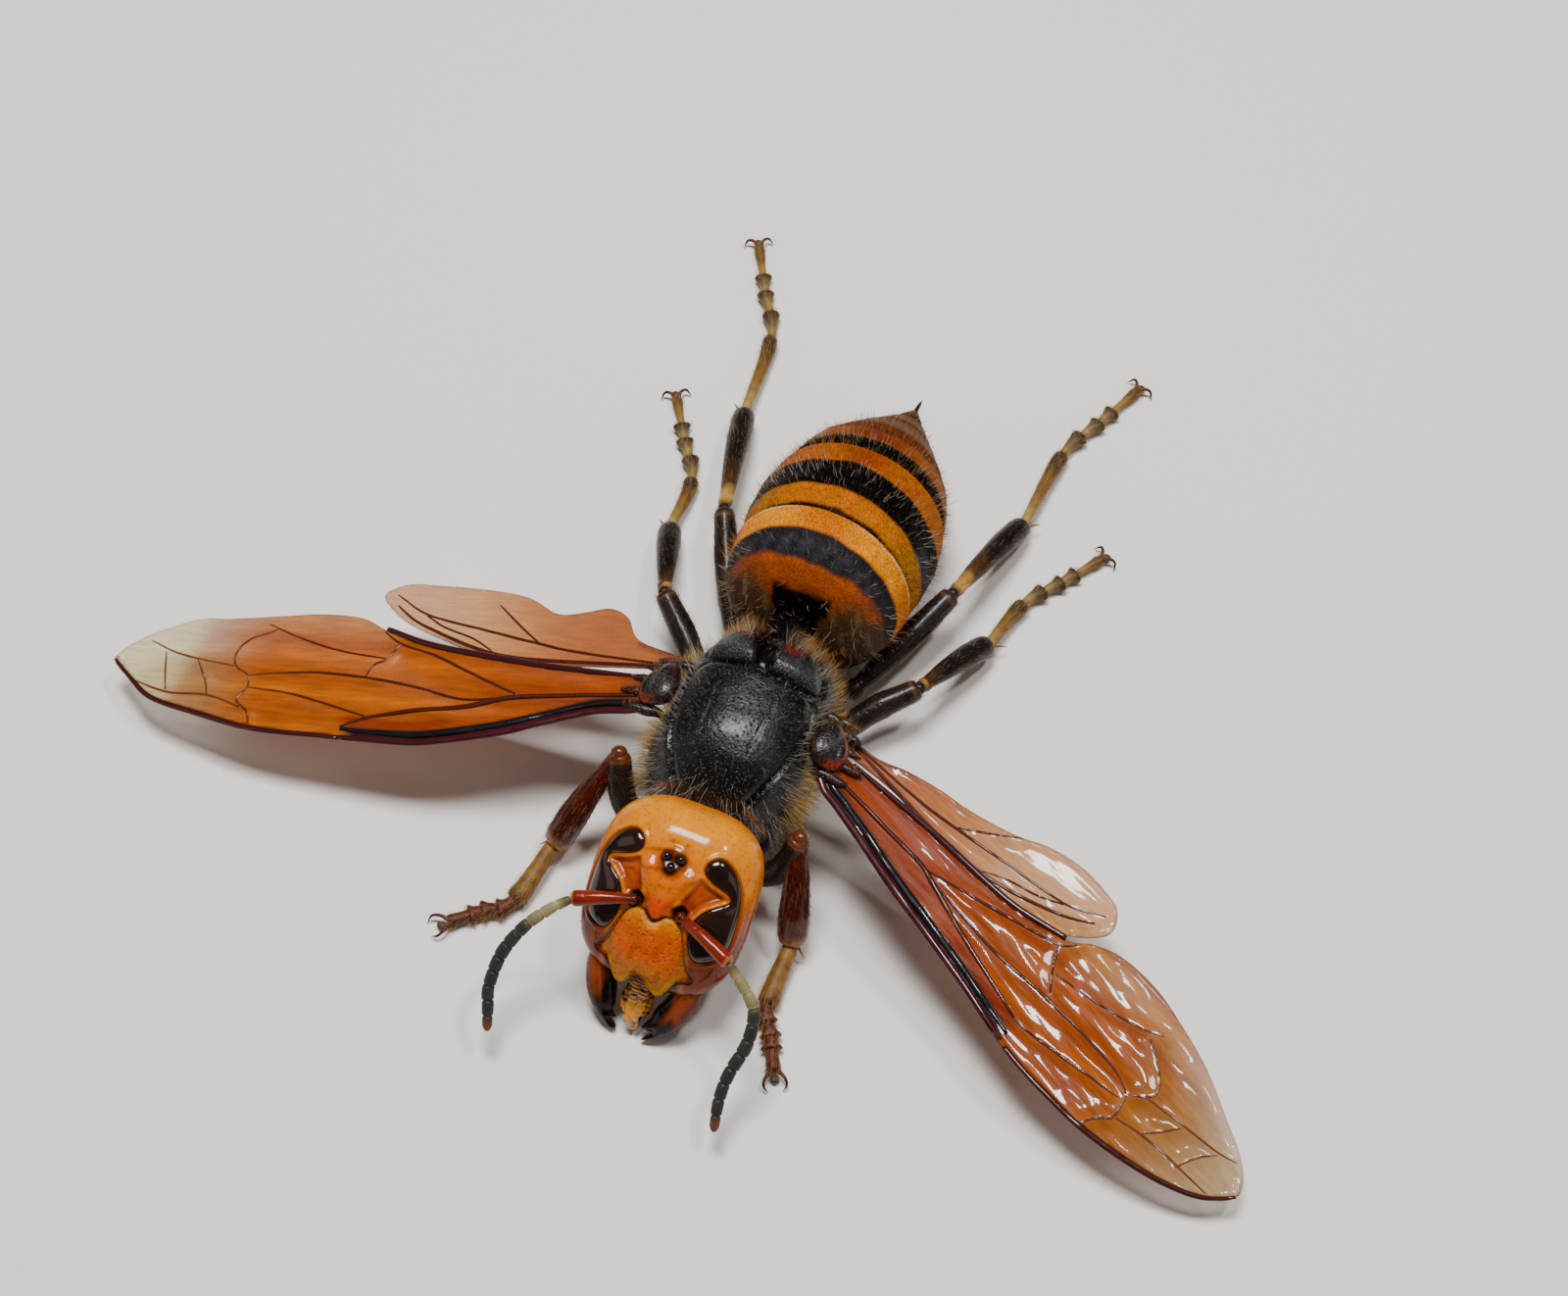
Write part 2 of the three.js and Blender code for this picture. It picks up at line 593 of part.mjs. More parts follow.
// Veins: [half width, points]
const FOREWING_VEINS = {
  costa: [0.34, [
    [-1.7, -0.5], [3.6, -1.9], [7.3, -3.0], [11.1, -4.1], [14.6, -4.8],
    [20, -4.9], [27.4, -4.2], [34, -2.8], [36.5, -1.5],
  ]],
  radius: [0.3, [[-1.7, 0], [5, -1.3], [10, -2.7], [13.8, -3.9], [17.4, -4.3], [20.5, -4.3]]],
  stigma: [0.2, [[8.8, -1.2], [11.5, -2.0], [14.6, -2.7], [18.4, -3.1], [20.8, -4.4]]],
  median: [0.2, [
    [-1.2, 0.2], [5.2, -0.4], [8.8, -0.9], [12.5, -1.3], [17.3, -0.8],
    [19.6, -0.3], [23, -0.1], [26.2, -0.3], [28.2, -0.7],
  ]],
  sector: [VEIN_WIDTH, [[18.4, -3.1], [20.2, -2.9], [22.4, -2.4], [25.3, -1.8], [28.0, -1.5]]],
  submarginal: [VEIN_WIDTH, [[28.2, -0.7], [28.0, -1.6], [28.3, -2.6], [27.5, -4.2]]],
  recurrent: [VEIN_WIDTH, [[28.2, -0.7], [29.4, 0.2], [29.6, 1.4], [28.9, 2.3], [26.8, 3.0]]],
  discoidal: [VEIN_WIDTH, [[26.8, 3.0], [23.4, 2.1], [21.1, 1.5], [19.1, 1.2]]],
  crossing: [VEIN_WIDTH, [[18.0, 2.8], [19.1, 1.2], [19.6, -0.3]]],
  anal: [VEIN_WIDTH, [[8.8, -0.9], [10.8, -0.3], [13.2, 0.7], [18.0, 2.8]]],
  outer: [VEIN_WIDTH, [[28.4, -0.5], [30.4, 0.3], [32.4, 0.6], [34.9, 1.1], [36.0, 1.8]]],
  outer_near: [VEIN_WIDTH, [[32.4, 0.6], [31.3, -0.9], [30.9, -2.1]]],
  outer_far: [VEIN_WIDTH, [[34.9, 1.1], [34.6, -0.3], [34.0, -1.7]]],
  marginal: [VEIN_WIDTH, [[36.4, -1.5], [34, -1.7], [30.9, -2.2], [28.9, -2.7], [27.6, -4.1]]],
};
const HINDWING_VEINS = {
  costa: [0.25, [[-2.6, 1.8], [0, 2.1], [6.6, 2.0], [10.2, 2.1], [12.8, 2.8], [15.2, 3.7], [17.4, 4.7]]],
  median: [VEIN_WIDTH, [[-2.6, 2.0], [4.7, 2.7], [8.1, 3.4], [12.1, 4.3], [16.7, 5.4], [19.4, 6.9]]],
  branch: [VEIN_WIDTH, [[16.7, 5.3], [15.2, 4.4], [13, 3.6], [11.3, 2.4]]],
  cubital: [VEIN_WIDTH, [[8.1, 3.4], [9.8, 4.8], [11.6, 6.4]]],
};

// The matrix that takes wing axes (s, c, height) to thorax axes
function wingAxes({ root, tip }, drop) {
  const span = tip.clone().sub(root).normalize();
  const chord = UP.clone().cross(span).normalize();
  if (span.x < 0) chord.negate();
  const normal = span.clone().cross(chord);
  if (normal.z < 0) normal.negate();
  return new THREE.Matrix4()
    .makeBasis(span, chord, normal)
    .setPosition(root.clone().addScaledVector(normal, -drop));
}

function membrane(points, divisions) {
  return prism(outline(points, 0, divisions), -MEMBRANE / 2, MEMBRANE / 2);
}

function vein([halfWidth, points]) {
  const path = points.map(([s, c]) => point(s, c, 0));
  const steps = Math.max(2, Math.round(0.8 * (path.length - 1)));
  const stations = Array.from({ length: steps + 1 }, (_, i) => [i / steps, halfWidth]);
  return limb(path, stations, { sides: 4, flat: VEIN_HEIGHT / halfWidth });
}

function wing(outlinePoints, veins, divisions) {
  const sheet = membrane(outlinePoints, divisions);
  return Object.values(veins).reduce((body, line) => body.add(vein(line)), sheet);
}

function makeWings() {
  Object.entries(WINGS).forEach(([name, place]) => {
    const fore = wing(FOREWING_OUTLINE, FOREWING_VEINS, 40).transform(wingAxes(place, 0).elements);
    const hind = wing(HINDWING_OUTLINES[name], HINDWING_VEINS, 32)
      .transform(wingAxes(place, HINDWING_DROP).elements);
    add(`forewing_${name}`, fore.subtract(thoraxClearance), 'wing');
    add(`hindwing_${name}`, hind.subtract(thoraxClearance), 'wing');
    const side = name === 'left' ? 1 : -1;
    const cap = blob(point(side * 6.1, 1.7, 10.75), point(1.5, 2.1, 0.95), 14, 10)
      .trimByPlane([0, 0, 1], 10.75)
      .subtract(thoraxClearance);
    add(`tegula_${name}`, cap, 'dark');
  });
}

makeHead();
makeAntennae();
makeThorax();
makeGaster();
makeLegs();
makeWings();

export default hornet;
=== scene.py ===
# Asian giant hornet: the visual model. Millimetres and thorax axes in the making, metres on the pieces.
import math
import bpy
import numpy as np
from mathutils import Matrix
from mathutils.geometry import delaunay_2d_cdt


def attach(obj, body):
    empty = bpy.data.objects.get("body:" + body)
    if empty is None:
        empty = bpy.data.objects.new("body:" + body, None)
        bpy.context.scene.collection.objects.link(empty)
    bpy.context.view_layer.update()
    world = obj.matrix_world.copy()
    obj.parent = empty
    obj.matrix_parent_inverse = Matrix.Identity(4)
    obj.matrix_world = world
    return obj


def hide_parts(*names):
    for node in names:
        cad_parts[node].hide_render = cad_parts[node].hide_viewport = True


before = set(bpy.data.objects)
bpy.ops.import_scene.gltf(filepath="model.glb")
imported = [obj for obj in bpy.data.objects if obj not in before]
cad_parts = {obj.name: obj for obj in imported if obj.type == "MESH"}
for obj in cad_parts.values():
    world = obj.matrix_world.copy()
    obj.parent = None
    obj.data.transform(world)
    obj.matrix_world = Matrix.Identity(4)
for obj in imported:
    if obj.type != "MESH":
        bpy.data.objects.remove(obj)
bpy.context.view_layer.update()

MM = 0.001
REST_Y = 23.0
SIDES = {"left": 1, "right": -1}


def add_object(name, data):
    made = bpy.data.objects.new(name, data)
    bpy.context.scene.collection.objects.link(made)
    return made


# Camera: the photograph's viewing angle

CAMERA_PLACE = (39.77, -87.17 - REST_Y, 188.66)
CAMERA_AXES = ((0.92388, -0.33141, 0.19134), (0.38268, 0.80010, -0.46194), (0.0, 0.5, 0.86603))
camera_data = bpy.data.cameras.new("camera")
camera_data.lens = 69.75
camera_data.sensor_width = 36.0
camera_data.clip_start = 0.01
camera = add_object("camera", camera_data)
camera.matrix_world = Matrix.Translation([c * MM for c in CAMERA_PLACE]) @ Matrix(CAMERA_AXES).to_4x4()
bpy.context.scene.camera = camera


# Numbers and curves

def array(values):
    return np.array(values, dtype=float)


def unit(vectors):
    return vectors / np.maximum(np.linalg.norm(vectors, axis=-1, keepdims=True), 1e-9)


def ease(low, high, values):
    share = np.clip((values - low) / (high - low), 0, 1)
    return share * share * (3 - 2 * share)


def hump(values, middle, spread):
    return np.exp(-((values - middle) / spread) ** 2)


def power(values, exponent):
    return np.sign(values) * np.abs(values) ** exponent


def super_width(height, squareness):
    return (1 - np.clip(np.abs(height), 0, 1) ** squareness) ** (1 / squareness)


def dome(depth, reach):
    """A rounded rim: 0 at the edge, and 1 from the reach inwards."""
    return np.sqrt(1 - (1 - np.clip(depth / reach, 0, 1)) ** 2)


def ripple(a, b, seed):
    """A smooth wander of about -1 to 1, from a few sines with seeded phases."""
    draw = np.random.default_rng(seed)
    total = 0
    for size in (1.0, 1.9, 3.7):
        turn, first, second = draw.uniform(0, 6.28, 3)
        total = total + np.sin(size * (a * math.cos(turn) + b * math.sin(turn)) + first + second) / size
    return total / 1.8


def turns(count):
    """Even angles round a ring, as one row."""
    return np.linspace(0, 2 * np.pi, count, endpoint=False)[None, :]


def shares_along(rows, sides):
    """The share of a tube's length at each place of its rings."""
    return np.tile(np.linspace(0, 1, rows)[:, None], (1, sides))


CURVE_STEPS, CURVE_NUDGE = 24, 0.01  # steps in each span of a curve, and the share that its direction is read over


def spline(points, count, closed=False, shares=None):
    """Places on a Catmull-Rom curve at even shares of its length, and the directions there."""
    p = array(points)
    if closed:
        p = np.vstack([p[-1:], p, p[:2]])
    else:
        p = np.vstack([2 * p[:1] - p[1:2], p, 2 * p[-1:] - p[-2:-1]])
    t = np.linspace(0, 1, CURVE_STEPS, endpoint=False)[:, None]
    runs = []
    for a, b, c, d in zip(p[:-3], p[1:-2], p[2:-1], p[3:]):
        m, n = (c - a) / 2, (d - b) / 2
        runs.append(b + m * t + (3 * (c - b) - 2 * m - n) * t ** 2 + (2 * (b - c) + m + n) * t ** 3)
    dense = np.vstack(runs + [p[-2:-1] if not closed else p[1:2]])
    steps = np.linalg.norm(np.diff(dense, axis=0), axis=1)
    length = np.concatenate([[0], np.cumsum(steps)])
    if shares is None:
        shares = np.linspace(0, 1, count, endpoint=not closed)
    want, whole = np.asarray(shares) * length[-1], length[-1]
    nudge = CURVE_NUDGE * whole

    def at(reach):
        return np.stack([np.interp(reach, length, column) for column in dense.T], 1)

    ahead, back = at(np.minimum(want + nudge, whole)), at(np.maximum(want - nudge, 0))
    return at(want), unit(ahead - back), whole


def loop(points, count):
    return spline(points, count, closed=True)[0]


def mirrored(points):
    return [(-x, y) for x, y in reversed(points)]


def line_distance(line, x, y):
    """How far each place is from an open line."""
    nearest = np.full(np.shape(x), 1e9)
    for (ax, ay), (bx, by) in zip(line[:-1], line[1:]):
        ex, ey = bx - ax, by - ay
        t = np.clip(((x - ax) * ex + (y - ay) * ey) / (ex * ex + ey * ey + 1e-12), 0, 1)
        nearest = np.minimum(nearest, np.hypot(x - ax - t * ex, y - ay - t * ey))
    return nearest


def edge_distance(outline, x, y):
    """How far each place is inside a closed outline: positive inside, negative outside."""
    ring = np.vstack([outline, outline[:1]])
    crossings = np.zeros(np.shape(x), dtype=int)
    for (ax, ay), (bx, by) in zip(ring[:-1], ring[1:]):
        crossings += ((ay > y) != (by > y)) & (x < (bx - ax) * (y - ay) / (by - ay + 1e-12) + ax)
    return np.where(crossings % 2 == 1, 1, -1) * line_distance(ring, x, y)


# Colours

def linear(code):
    parts = [int(code[i:i + 2], 16) / 255 for i in (1, 3, 5)]
    return array([c / 12.92 if c <= 0.04045 else ((c + 0.055) / 1.055) ** 2.4 for c in parts])


def rgba(code):
    return (*linear(code), 1.0)


def layers(colour, coats):
    """Lays coats over a colour in turn: each a hex value and the share of it that shows at each place."""
    for code, share in coats:
        colour = colour + (linear(code) - colour) * np.asarray(share)[..., None]
    return colour


def tinted(code, shape, coats=()):
    return layers(np.broadcast_to(linear(code), (*shape, 3)), coats)


# Meshes

GUTTER = 0.02  # the free edge round each body's square of the unwrap
TRIANGLE_ROW, RIM_CLEAR = 0.87, 0.45  # a plate's rows and its inner places' gap to the rim, as shares of the spacing
HALF_SHEET = 0.49  # each face of a plate takes just under half of its unwrap



class Mesh:
    """Places, faces, the unwrap of each face's corners and a colour at each place."""

    def __init__(self):
        self.places, self.faces, self.unwrap, self.tints, self.parts, self.count = [], [], [], [], [], 0

    def add(self, places, faces, unwrap, tints):
        """Adds one closed body and turns its faces outward, by the sign of its volume."""
        volume = 0.0
        for size in (3, 4):
            corners = places[array([face for face in faces if len(face) == size]).astype(int).reshape(-1, size)]
            for k in range(1, size - 1):
                volume += np.einsum("ij,ij->", corners[:, 0], np.cross(corners[:, k], corners[:, k + 1]))
        start = 0
        for face in faces:
            ring = unwrap[start:start + len(face)]
            start += len(face)
            if volume < 0:
                face, ring = face[::-1], ring[::-1]
            self.faces.append(tuple(i + self.count for i in face))
            self.unwrap += ring
        self.places.append(places)
        self.tints.append(tints)
        self.parts.append(len(unwrap))
        self.count += len(places)
        return self

    def tiled_unwrap(self):
        """The unwrap with each body in a square of its own."""
        across = math.ceil(math.sqrt(len(self.parts)))
        number = np.repeat(np.arange(len(self.parts)), self.parts)
        corner = np.stack([number % across, number // across], 1)
        return (corner + GUTTER + (1 - 2 * GUTTER) * array(self.unwrap)) / across

    def tube(self, grid, tints):
        """A closed skin over rings of places, with a point at each end."""
        rows, columns, _ = grid.shape
        ends = np.stack([grid[0].mean(0), grid[-1].mean(0)])
        places = np.vstack([grid.reshape(-1, 3), ends])
        colours = np.vstack([tints.reshape(-1, 3), tints[0, :1], tints[-1, :1]])
        faces, unwrap = [], []
        for r in range(rows - 1):
            for c in range(columns):
                n = (c + 1) % columns
                faces.append((r * columns + c, r * columns + n, (r + 1) * columns + n, (r + 1) * columns + c))
                u, v, w, z = c / columns, (c + 1) / columns, r / rows, (r + 1) / rows
                unwrap += [(u, w), (v, w), (v, z), (u, z)]
        first, last = rows * columns, rows * columns + 1
        for c in range(columns):
            n = (c + 1) % columns
            faces.append((first, n, c))
            faces.append((last, (rows - 1) * columns + c, (rows - 1) * columns + n))
            unwrap += [(0.5, 0), ((c + 1) / columns, 0), (c / columns, 0)]
            unwrap += [(0.5, 1), (c / columns, 1), ((c + 1) / columns, 1)]
        return self.add(places, faces, unwrap, colours)

    def lens(self, outline, spacing, top, bottom, tint):
        """A closed plate on an outline: top and bottom give places from x, y and the distance inside."""
        ring = array(outline)
        low, high = ring.min(0), ring.max(0)
        xs = np.arange(low[0], high[0] + spacing, spacing)
        ys = np.arange(low[1], high[1] + spacing, spacing * TRIANGLE_ROW)
        gx, gy = np.meshgrid(xs, ys)
        gx = gx + (np.arange(len(ys)) % 2)[:, None] * spacing / 2
        inner = edge_distance(ring, gx, gy) > spacing * RIM_CLEAR
        flat = np.vstack([ring, np.stack([gx[inner], gy[inner]], 1)])
        edges = [(i, (i + 1) % len(ring)) for i in range(len(ring))]
        found = delaunay_2d_cdt([tuple(p) for p in flat], edges, [], 1, 1e-6)
        flat = array([tuple(v) for v in found[0]])
        faces = [tuple(f) for f in found[2]]
        depth = np.maximum(edge_distance(ring, flat[:, 0], flat[:, 1]), 0)
        rim = depth < 1e-4
        depth[rim] = 0
        upper, under = top(flat[:, 0], flat[:, 1], depth), bottom(flat[:, 0], flat[:, 1], depth)
        order = np.where(rim, np.arange(len(flat)), len(flat) + np.cumsum(~rim) - 1)
        places = np.vstack([upper, under[~rim]])
        colour = tint(flat[:, 0], flat[:, 1], depth)
        colours = np.vstack([colour, colour[~rim]])
        span = flat.max(0) - flat.min(0)
        sheet = (flat - flat.min(0)) / span.max()
        unwrap, both = [], []
        for face in faces:
            both.append(face)
            unwrap += [tuple(sheet[i] * HALF_SHEET) for i in face]
        for face in faces:
            back = tuple(reversed(face))
            both.append(tuple(int(order[i]) for i in back))
            unwrap += [tuple(sheet[i] * HALF_SHEET + 0.5) for i in back]
        return self.add(places, both, unwrap, colours)


def finish_piece(obj, material, slot, nodes):
    obj.data.materials.clear()
    obj.data.materials.append(material)
    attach(obj, "root")
    if nodes:
        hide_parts(*nodes)
    return obj


def piece(name, mesh, material, slot, nodes=(), extra=None):
    """Makes a mesh a finished piece; extra holds more attributes, a number or a vector at each place."""
    places = (np.vstack(mesh.places) + array([0, -REST_Y, 0])) * MM
    data = bpy.data.meshes.new(name)
    data.from_pydata(places.tolist(), [], mesh.faces)
    data.uv_layers.new(name="Skin").data.foreach_set("uv", mesh.tiled_unwrap().ravel())
    colours = np.clip(np.vstack(mesh.tints), 0, 1)
    tint = data.color_attributes.new("Tint", "FLOAT_COLOR", "POINT")
    tint.data.foreach_set("color", np.column_stack([colours, np.ones(len(colours))]).ravel())
    for key, values in (extra or {}).items():
        kind, field = ("FLOAT_VECTOR", "vector") if np.ndim(values) == 2 else ("FLOAT", "value")
        data.attributes.new(key, kind, "POINT").data.foreach_set(field, array(values).ravel())
    data.shade_smooth()
    data.validate()
    data.update()
    return finish_piece(add_object(name, data), material, slot, nodes)


def with_ends(values):
    """Values on a tube's rings, with none at its two end points."""
    return np.concatenate([np.ravel(values), [0, 0]])


def coat_of(fur, way, code):
    """What a coat reads on its skin: how thickly it grows, the way it lies and its colour."""
    return {"fur": fur, "lie": np.tile(unit(array(way)), (len(fur), 1)), "coat": tinted(code, fur.shape)}


def rings(path, stations, rows, sides, flat=1.0, up=(0, 0, 1), shape=None):
    """Rings along a smooth path: stations are (share of the length, radius)."""
    shares = np.linspace(0, 1, rows)
    place, along, _ = spline(path, rows, shares=shares)
    radius = np.interp(shares, *zip(*stations))
    side = unit(np.cross(array(up), along))
    lift = np.cross(along, side)
    angle = turns(sides)
    reach = radius[:, None] * np.ones((1, sides))
    if shape is not None:
        reach = reach * shape(shares[:, None], angle)
    return (place[:, None, :] + (reach * np.cos(angle))[..., None] * side[:, None, :]
            + (reach * np.sin(angle) * flat)[..., None] * lift[:, None, :])


def ball(centre, radii, rows=16, columns=24):
    v, u = np.linspace(0, np.pi, rows)[1:-1, None], turns(columns)
    unit_ball = np.stack([np.sin(v) * np.cos(u), np.sin(v) * np.sin(u), np.cos(v) * np.ones_like(u)], -1)
    return unit_ball[::-1] * array(radii) + array(centre)


def above_floor(grid):
    grid[..., 2] = np.maximum(grid[..., 2], 0)
    return grid


def normals(grid):
    """Outward directions on a ring grid whose rows run along and columns round it."""
    across = np.roll(grid, -1, 1) - np.roll(grid, 1, 1)
    outward = unit(np.cross(across, np.gradient(grid, axis=0)))
    inside_out = (outward * (grid - grid.mean((0, 1)))).sum(-1).mean() < 0
    return -outward if inside_out else outward


# Materials

def add_node(tree, kind, inputs=None, **settings):
    """Adds a node, sets its properties, and sets or links its inputs by name or number."""
    made = tree.nodes.new(kind)
    for key, value in settings.items():
        setattr(made, key, value)
    for key, value in (inputs or {}).items():
        if isinstance(value, bpy.types.NodeSocket):
            tree.links.new(value, made.inputs[key])
        else:
            made.inputs[key].default_value = value
    return made


def new_material(name):
    material = bpy.data.materials.new(name)
    material.use_nodes = True
    material.node_tree.nodes.clear()
    return material, material.node_tree


CHITIN_IOR = 1.56
CLOUD_SIZE = 1.4  # millimetres across the soft blotches of every cuticle


def cuticle(name, roughness, grain, relief, pits=0.0, mottle=0.25, gloss=0.0, spread=0.12, specular=0.25,
            pit_relief=0.03, speckle=0.0):
    """Insect cuticle: waxy shell tinted in its own layers. Grain, pits and relief are in millimetres."""
    material, tree = new_material(name)
    place = add_node(tree, "ShaderNodeTexCoord").outputs["Object"]
    tint = add_node(tree, "ShaderNodeAttribute", attribute_name="Tint").outputs["Color"]
    cloud = add_node(tree, "ShaderNodeTexNoise", {
        "Vector": place, "Scale": 1 / (CLOUD_SIZE * MM), "Detail": 4.0, "Roughness": 0.62}).outputs["Fac"]
    fine = add_node(tree, "ShaderNodeTexNoise", {
        "Vector": place, "Scale": 1 / (grain * MM), "Detail": 3.0, "Roughness": 0.6}).outputs["Fac"]
    rough = add_node(tree, "ShaderNodeMapRange", {
        "Value": fine, "From Min": 0.3, "From Max": 0.7,
        "To Min": roughness - spread * 0.5, "To Max": roughness + spread}).outputs["Result"]
    bump = add_node(tree, "ShaderNodeBump", {
        "Strength": 0.8, "Distance": relief * MM, "Height": fine}).outputs["Normal"]
    # What shades the tint in turn: the value read, the range read, and the range that it becomes
    shades = [(cloud, 0.3, 0.7, 1 - mottle, 1 + mottle * 0.6)]
    if speckle:
        shades.append((fine, 0.35, 0.65, 1 - speckle, 1 + speckle))
    if pits:
        cells = add_node(tree, "ShaderNodeTexVoronoi", {
            "Vector": place, "Scale": 1 / (pits * MM), "Randomness": 0.9}).outputs["Distance"]
        well = add_node(tree, "ShaderNodeMapRange", {
            "Value": cells, "From Min": 0.08, "From Max": 0.42, "To Min": 0.0, "To Max": 1.0},
            interpolation_type="SMOOTHSTEP").outputs["Result"]
        bump = add_node(tree, "ShaderNodeBump", {
            "Strength": 1.0, "Distance": pit_relief * MM, "Height": well, "Normal": bump}).outputs["Normal"]
        # painted shade: each pit is darker towards its deepest middle
        shades.append((well, 0.0, 1.0, 0.72, 1.0))
    colour = tint
    for value, low, high, darkest, lightest in shades:
        shade = add_node(tree, "ShaderNodeMapRange", {
            "Value": value, "From Min": low, "From Max": high, "To Min": darkest, "To Max": lightest})
        colour = add_node(tree, "ShaderNodeVectorMath", {
            0: colour, "Scale": shade.outputs["Result"]}, operation="SCALE").outputs["Vector"]
    shader = add_node(tree, "ShaderNodeBsdfPrincipled", {
        "Base Color": colour, "Roughness": rough, "Normal": bump, "IOR": CHITIN_IOR, "Coat Weight": gloss,
        "Coat Roughness": 0.1, "Specular IOR Level": specular})
    add_node(tree, "ShaderNodeOutputMaterial", {"Surface": shader.outputs["BSDF"]})
    return material


# Amber head shell: waxed and almost mirror smooth, so the window shows white on the brow
AMBER = cuticle("amber_waxed_cuticle", 0.26, 0.3, 0.01, pits=0.4, mottle=0.16, gloss=0.45, pit_relief=0.009,
                spread=0.08, specular=0.03)
# Clypeus: the same shell with close small pits that break its shine
CLYPEUS_SHELL = cuticle("clypeus_pitted_cuticle", 0.3, 0.2, 0.02, pits=0.34, mottle=0.2, pit_relief=0.07,
                        speckle=0.16, specular=0.12)
# Compound eye: a smooth dark lens sheet with a wet, sharp shine
CORNEA = cuticle("eye_cornea", 0.13, 0.25, 0.003, mottle=0.4, gloss=0.6, spread=0.04)
# Jaws: thick orange-brown shell that turns to black, hard and polished
JAW = cuticle("jaw_hard_cuticle", 0.26, 0.3, 0.015, pits=0.6, mottle=0.3, gloss=0.15, pit_relief=0.02, specular=0.08)
# Mouthparts: soft wet folds, golden and dull
TONGUE = cuticle("mouthpart_soft_cuticle", 0.24, 0.18, 0.05, mottle=0.45, gloss=0.8)
# Scapes and front shins: polished red-brown shell
POLISHED = cuticle("polished_brown_cuticle", 0.22, 0.35, 0.012, pits=0.5, mottle=0.3, gloss=0.4, pit_relief=0.015,
                   specular=0.12)
# Flagella: matt shell covered in sense pores
PORED = cuticle("flagellum_pored_cuticle", 0.5, 0.12, 0.02, mottle=0.25, spread=0.1)
# Thorax: black shell, densely pitted, with a dull grey bloom that only shines on top
BLACK = cuticle("black_pitted_cuticle", 0.25, 0.16, 0.05, pits=0.24, mottle=0.4, pit_relief=0.045, spread=0.12,
                specular=0.3, gloss=0.1, speckle=0.7)
# Gaster: banded satin shell with fine scratches from its hairs
SATIN = cuticle("gaster_satin_cuticle", 0.42, 0.13, 0.022, pits=0.26, mottle=0.22, spread=0.12, pit_relief=0.018,
                specular=0.02, speckle=0.34)
# Legs: black-brown shell, shining on its edges
LEG = cuticle("leg_cuticle", 0.3, 0.2, 0.018, pits=0.4, mottle=0.35, gloss=0.12, pit_relief=0.02, specular=0.14)
# Feet: rough golden shell under a brush of hairs
FOOT = cuticle("foot_bristly_cuticle", 0.46, 0.14, 0.04, mottle=0.4)


def wing_membrane():
    """Thin smoky-amber sheet: see-through by "solid", and wrinkled along the wing so that light runs in streaks."""
    material, tree = new_material("wing_membrane")
    sheet = add_node(tree, "ShaderNodeAttribute", attribute_name="sheet").outputs["Vector"]
    tint = add_node(tree, "ShaderNodeAttribute", attribute_name="Tint").outputs["Color"]
    solid = add_node(tree, "ShaderNodeAttribute", attribute_name="solid").outputs["Fac"]
    noises = []
    for stretch, detail, roughness in (((0.45, 3.2, 1.0), 4.0, 0.55), ((5.0, 9.0, 1.0), 3.0, 0.6)):
        stretched = add_node(tree, "ShaderNodeMapping", {"Vector": sheet, "Scale": stretch}).outputs["Vector"]
        noises.append(add_node(tree, "ShaderNodeTexNoise", {
            "Vector": stretched, "Scale": 1.0, "Detail": detail, "Roughness": roughness}).outputs["Fac"])
    streak, fine = noises
    shade = add_node(tree, "ShaderNodeMapRange", {
        "Value": streak, "From Min": 0.3, "From Max": 0.7, "To Min": 0.72, "To Max": 1.15}).outputs["Result"]
    colour = add_node(tree, "ShaderNodeVectorMath", {0: tint, "Scale": shade}, operation="SCALE").outputs["Vector"]
    bump = add_node(tree, "ShaderNodeBump", {
        "Strength": 0.7, "Distance": 0.07 * MM, "Height": streak}).outputs["Normal"]
    bump = add_node(tree, "ShaderNodeBump", {
        "Strength": 0.5, "Distance": 0.012 * MM, "Height": fine, "Normal": bump}).outputs["Normal"]
    rough = add_node(tree, "ShaderNodeMapRange", {
        "Value": fine, "From Min": 0.3, "From Max": 0.7, "To Min": 0.2, "To Max": 0.36}).outputs["Result"]
    shader = add_node(tree, "ShaderNodeBsdfPrincipled", {
        "Base Color": colour, "Alpha": solid, "Roughness": rough, "Normal": bump, "IOR": CHITIN_IOR,
        "Specular IOR Level": 0.1, "Coat Weight": 0.6, "Coat Roughness": 0.05})
    add_node(tree, "ShaderNodeOutputMaterial", {"Surface": shader.outputs["BSDF"]})
    return material


# Wings: amber chitin film, glossy in long streaks and darker where it is doubled
WING = wing_membrane()

# Head, in face axes: y runs up the face and z stands out of it

FACE_TILT = math.radians(43)
FACE_ORIGIN = array([0.05, -11.3, 6.6])
# The capsule's half width, half height and depth, the middle of its height, and how square it is up and round
HEAD_WIDE, HEAD_TALL, HEAD_DEEP, HEAD_MIDDLE, HEAD_SQUARE, HEAD_ROUND = 5.6, 6.1, 3.25, 0.95, 3.2, 0.83


def face_to_body(p):
    c, s = math.cos(FACE_TILT), math.sin(FACE_TILT)
    x, y, z = p[..., 0], p[..., 1], p[..., 2]
    return np.stack([x, y * c - z * s, y * s + z * c], -1) + FACE_ORIGIN


def head_width(height):
    return super_width((height - HEAD_MIDDLE) / HEAD_TALL, HEAD_SQUARE)


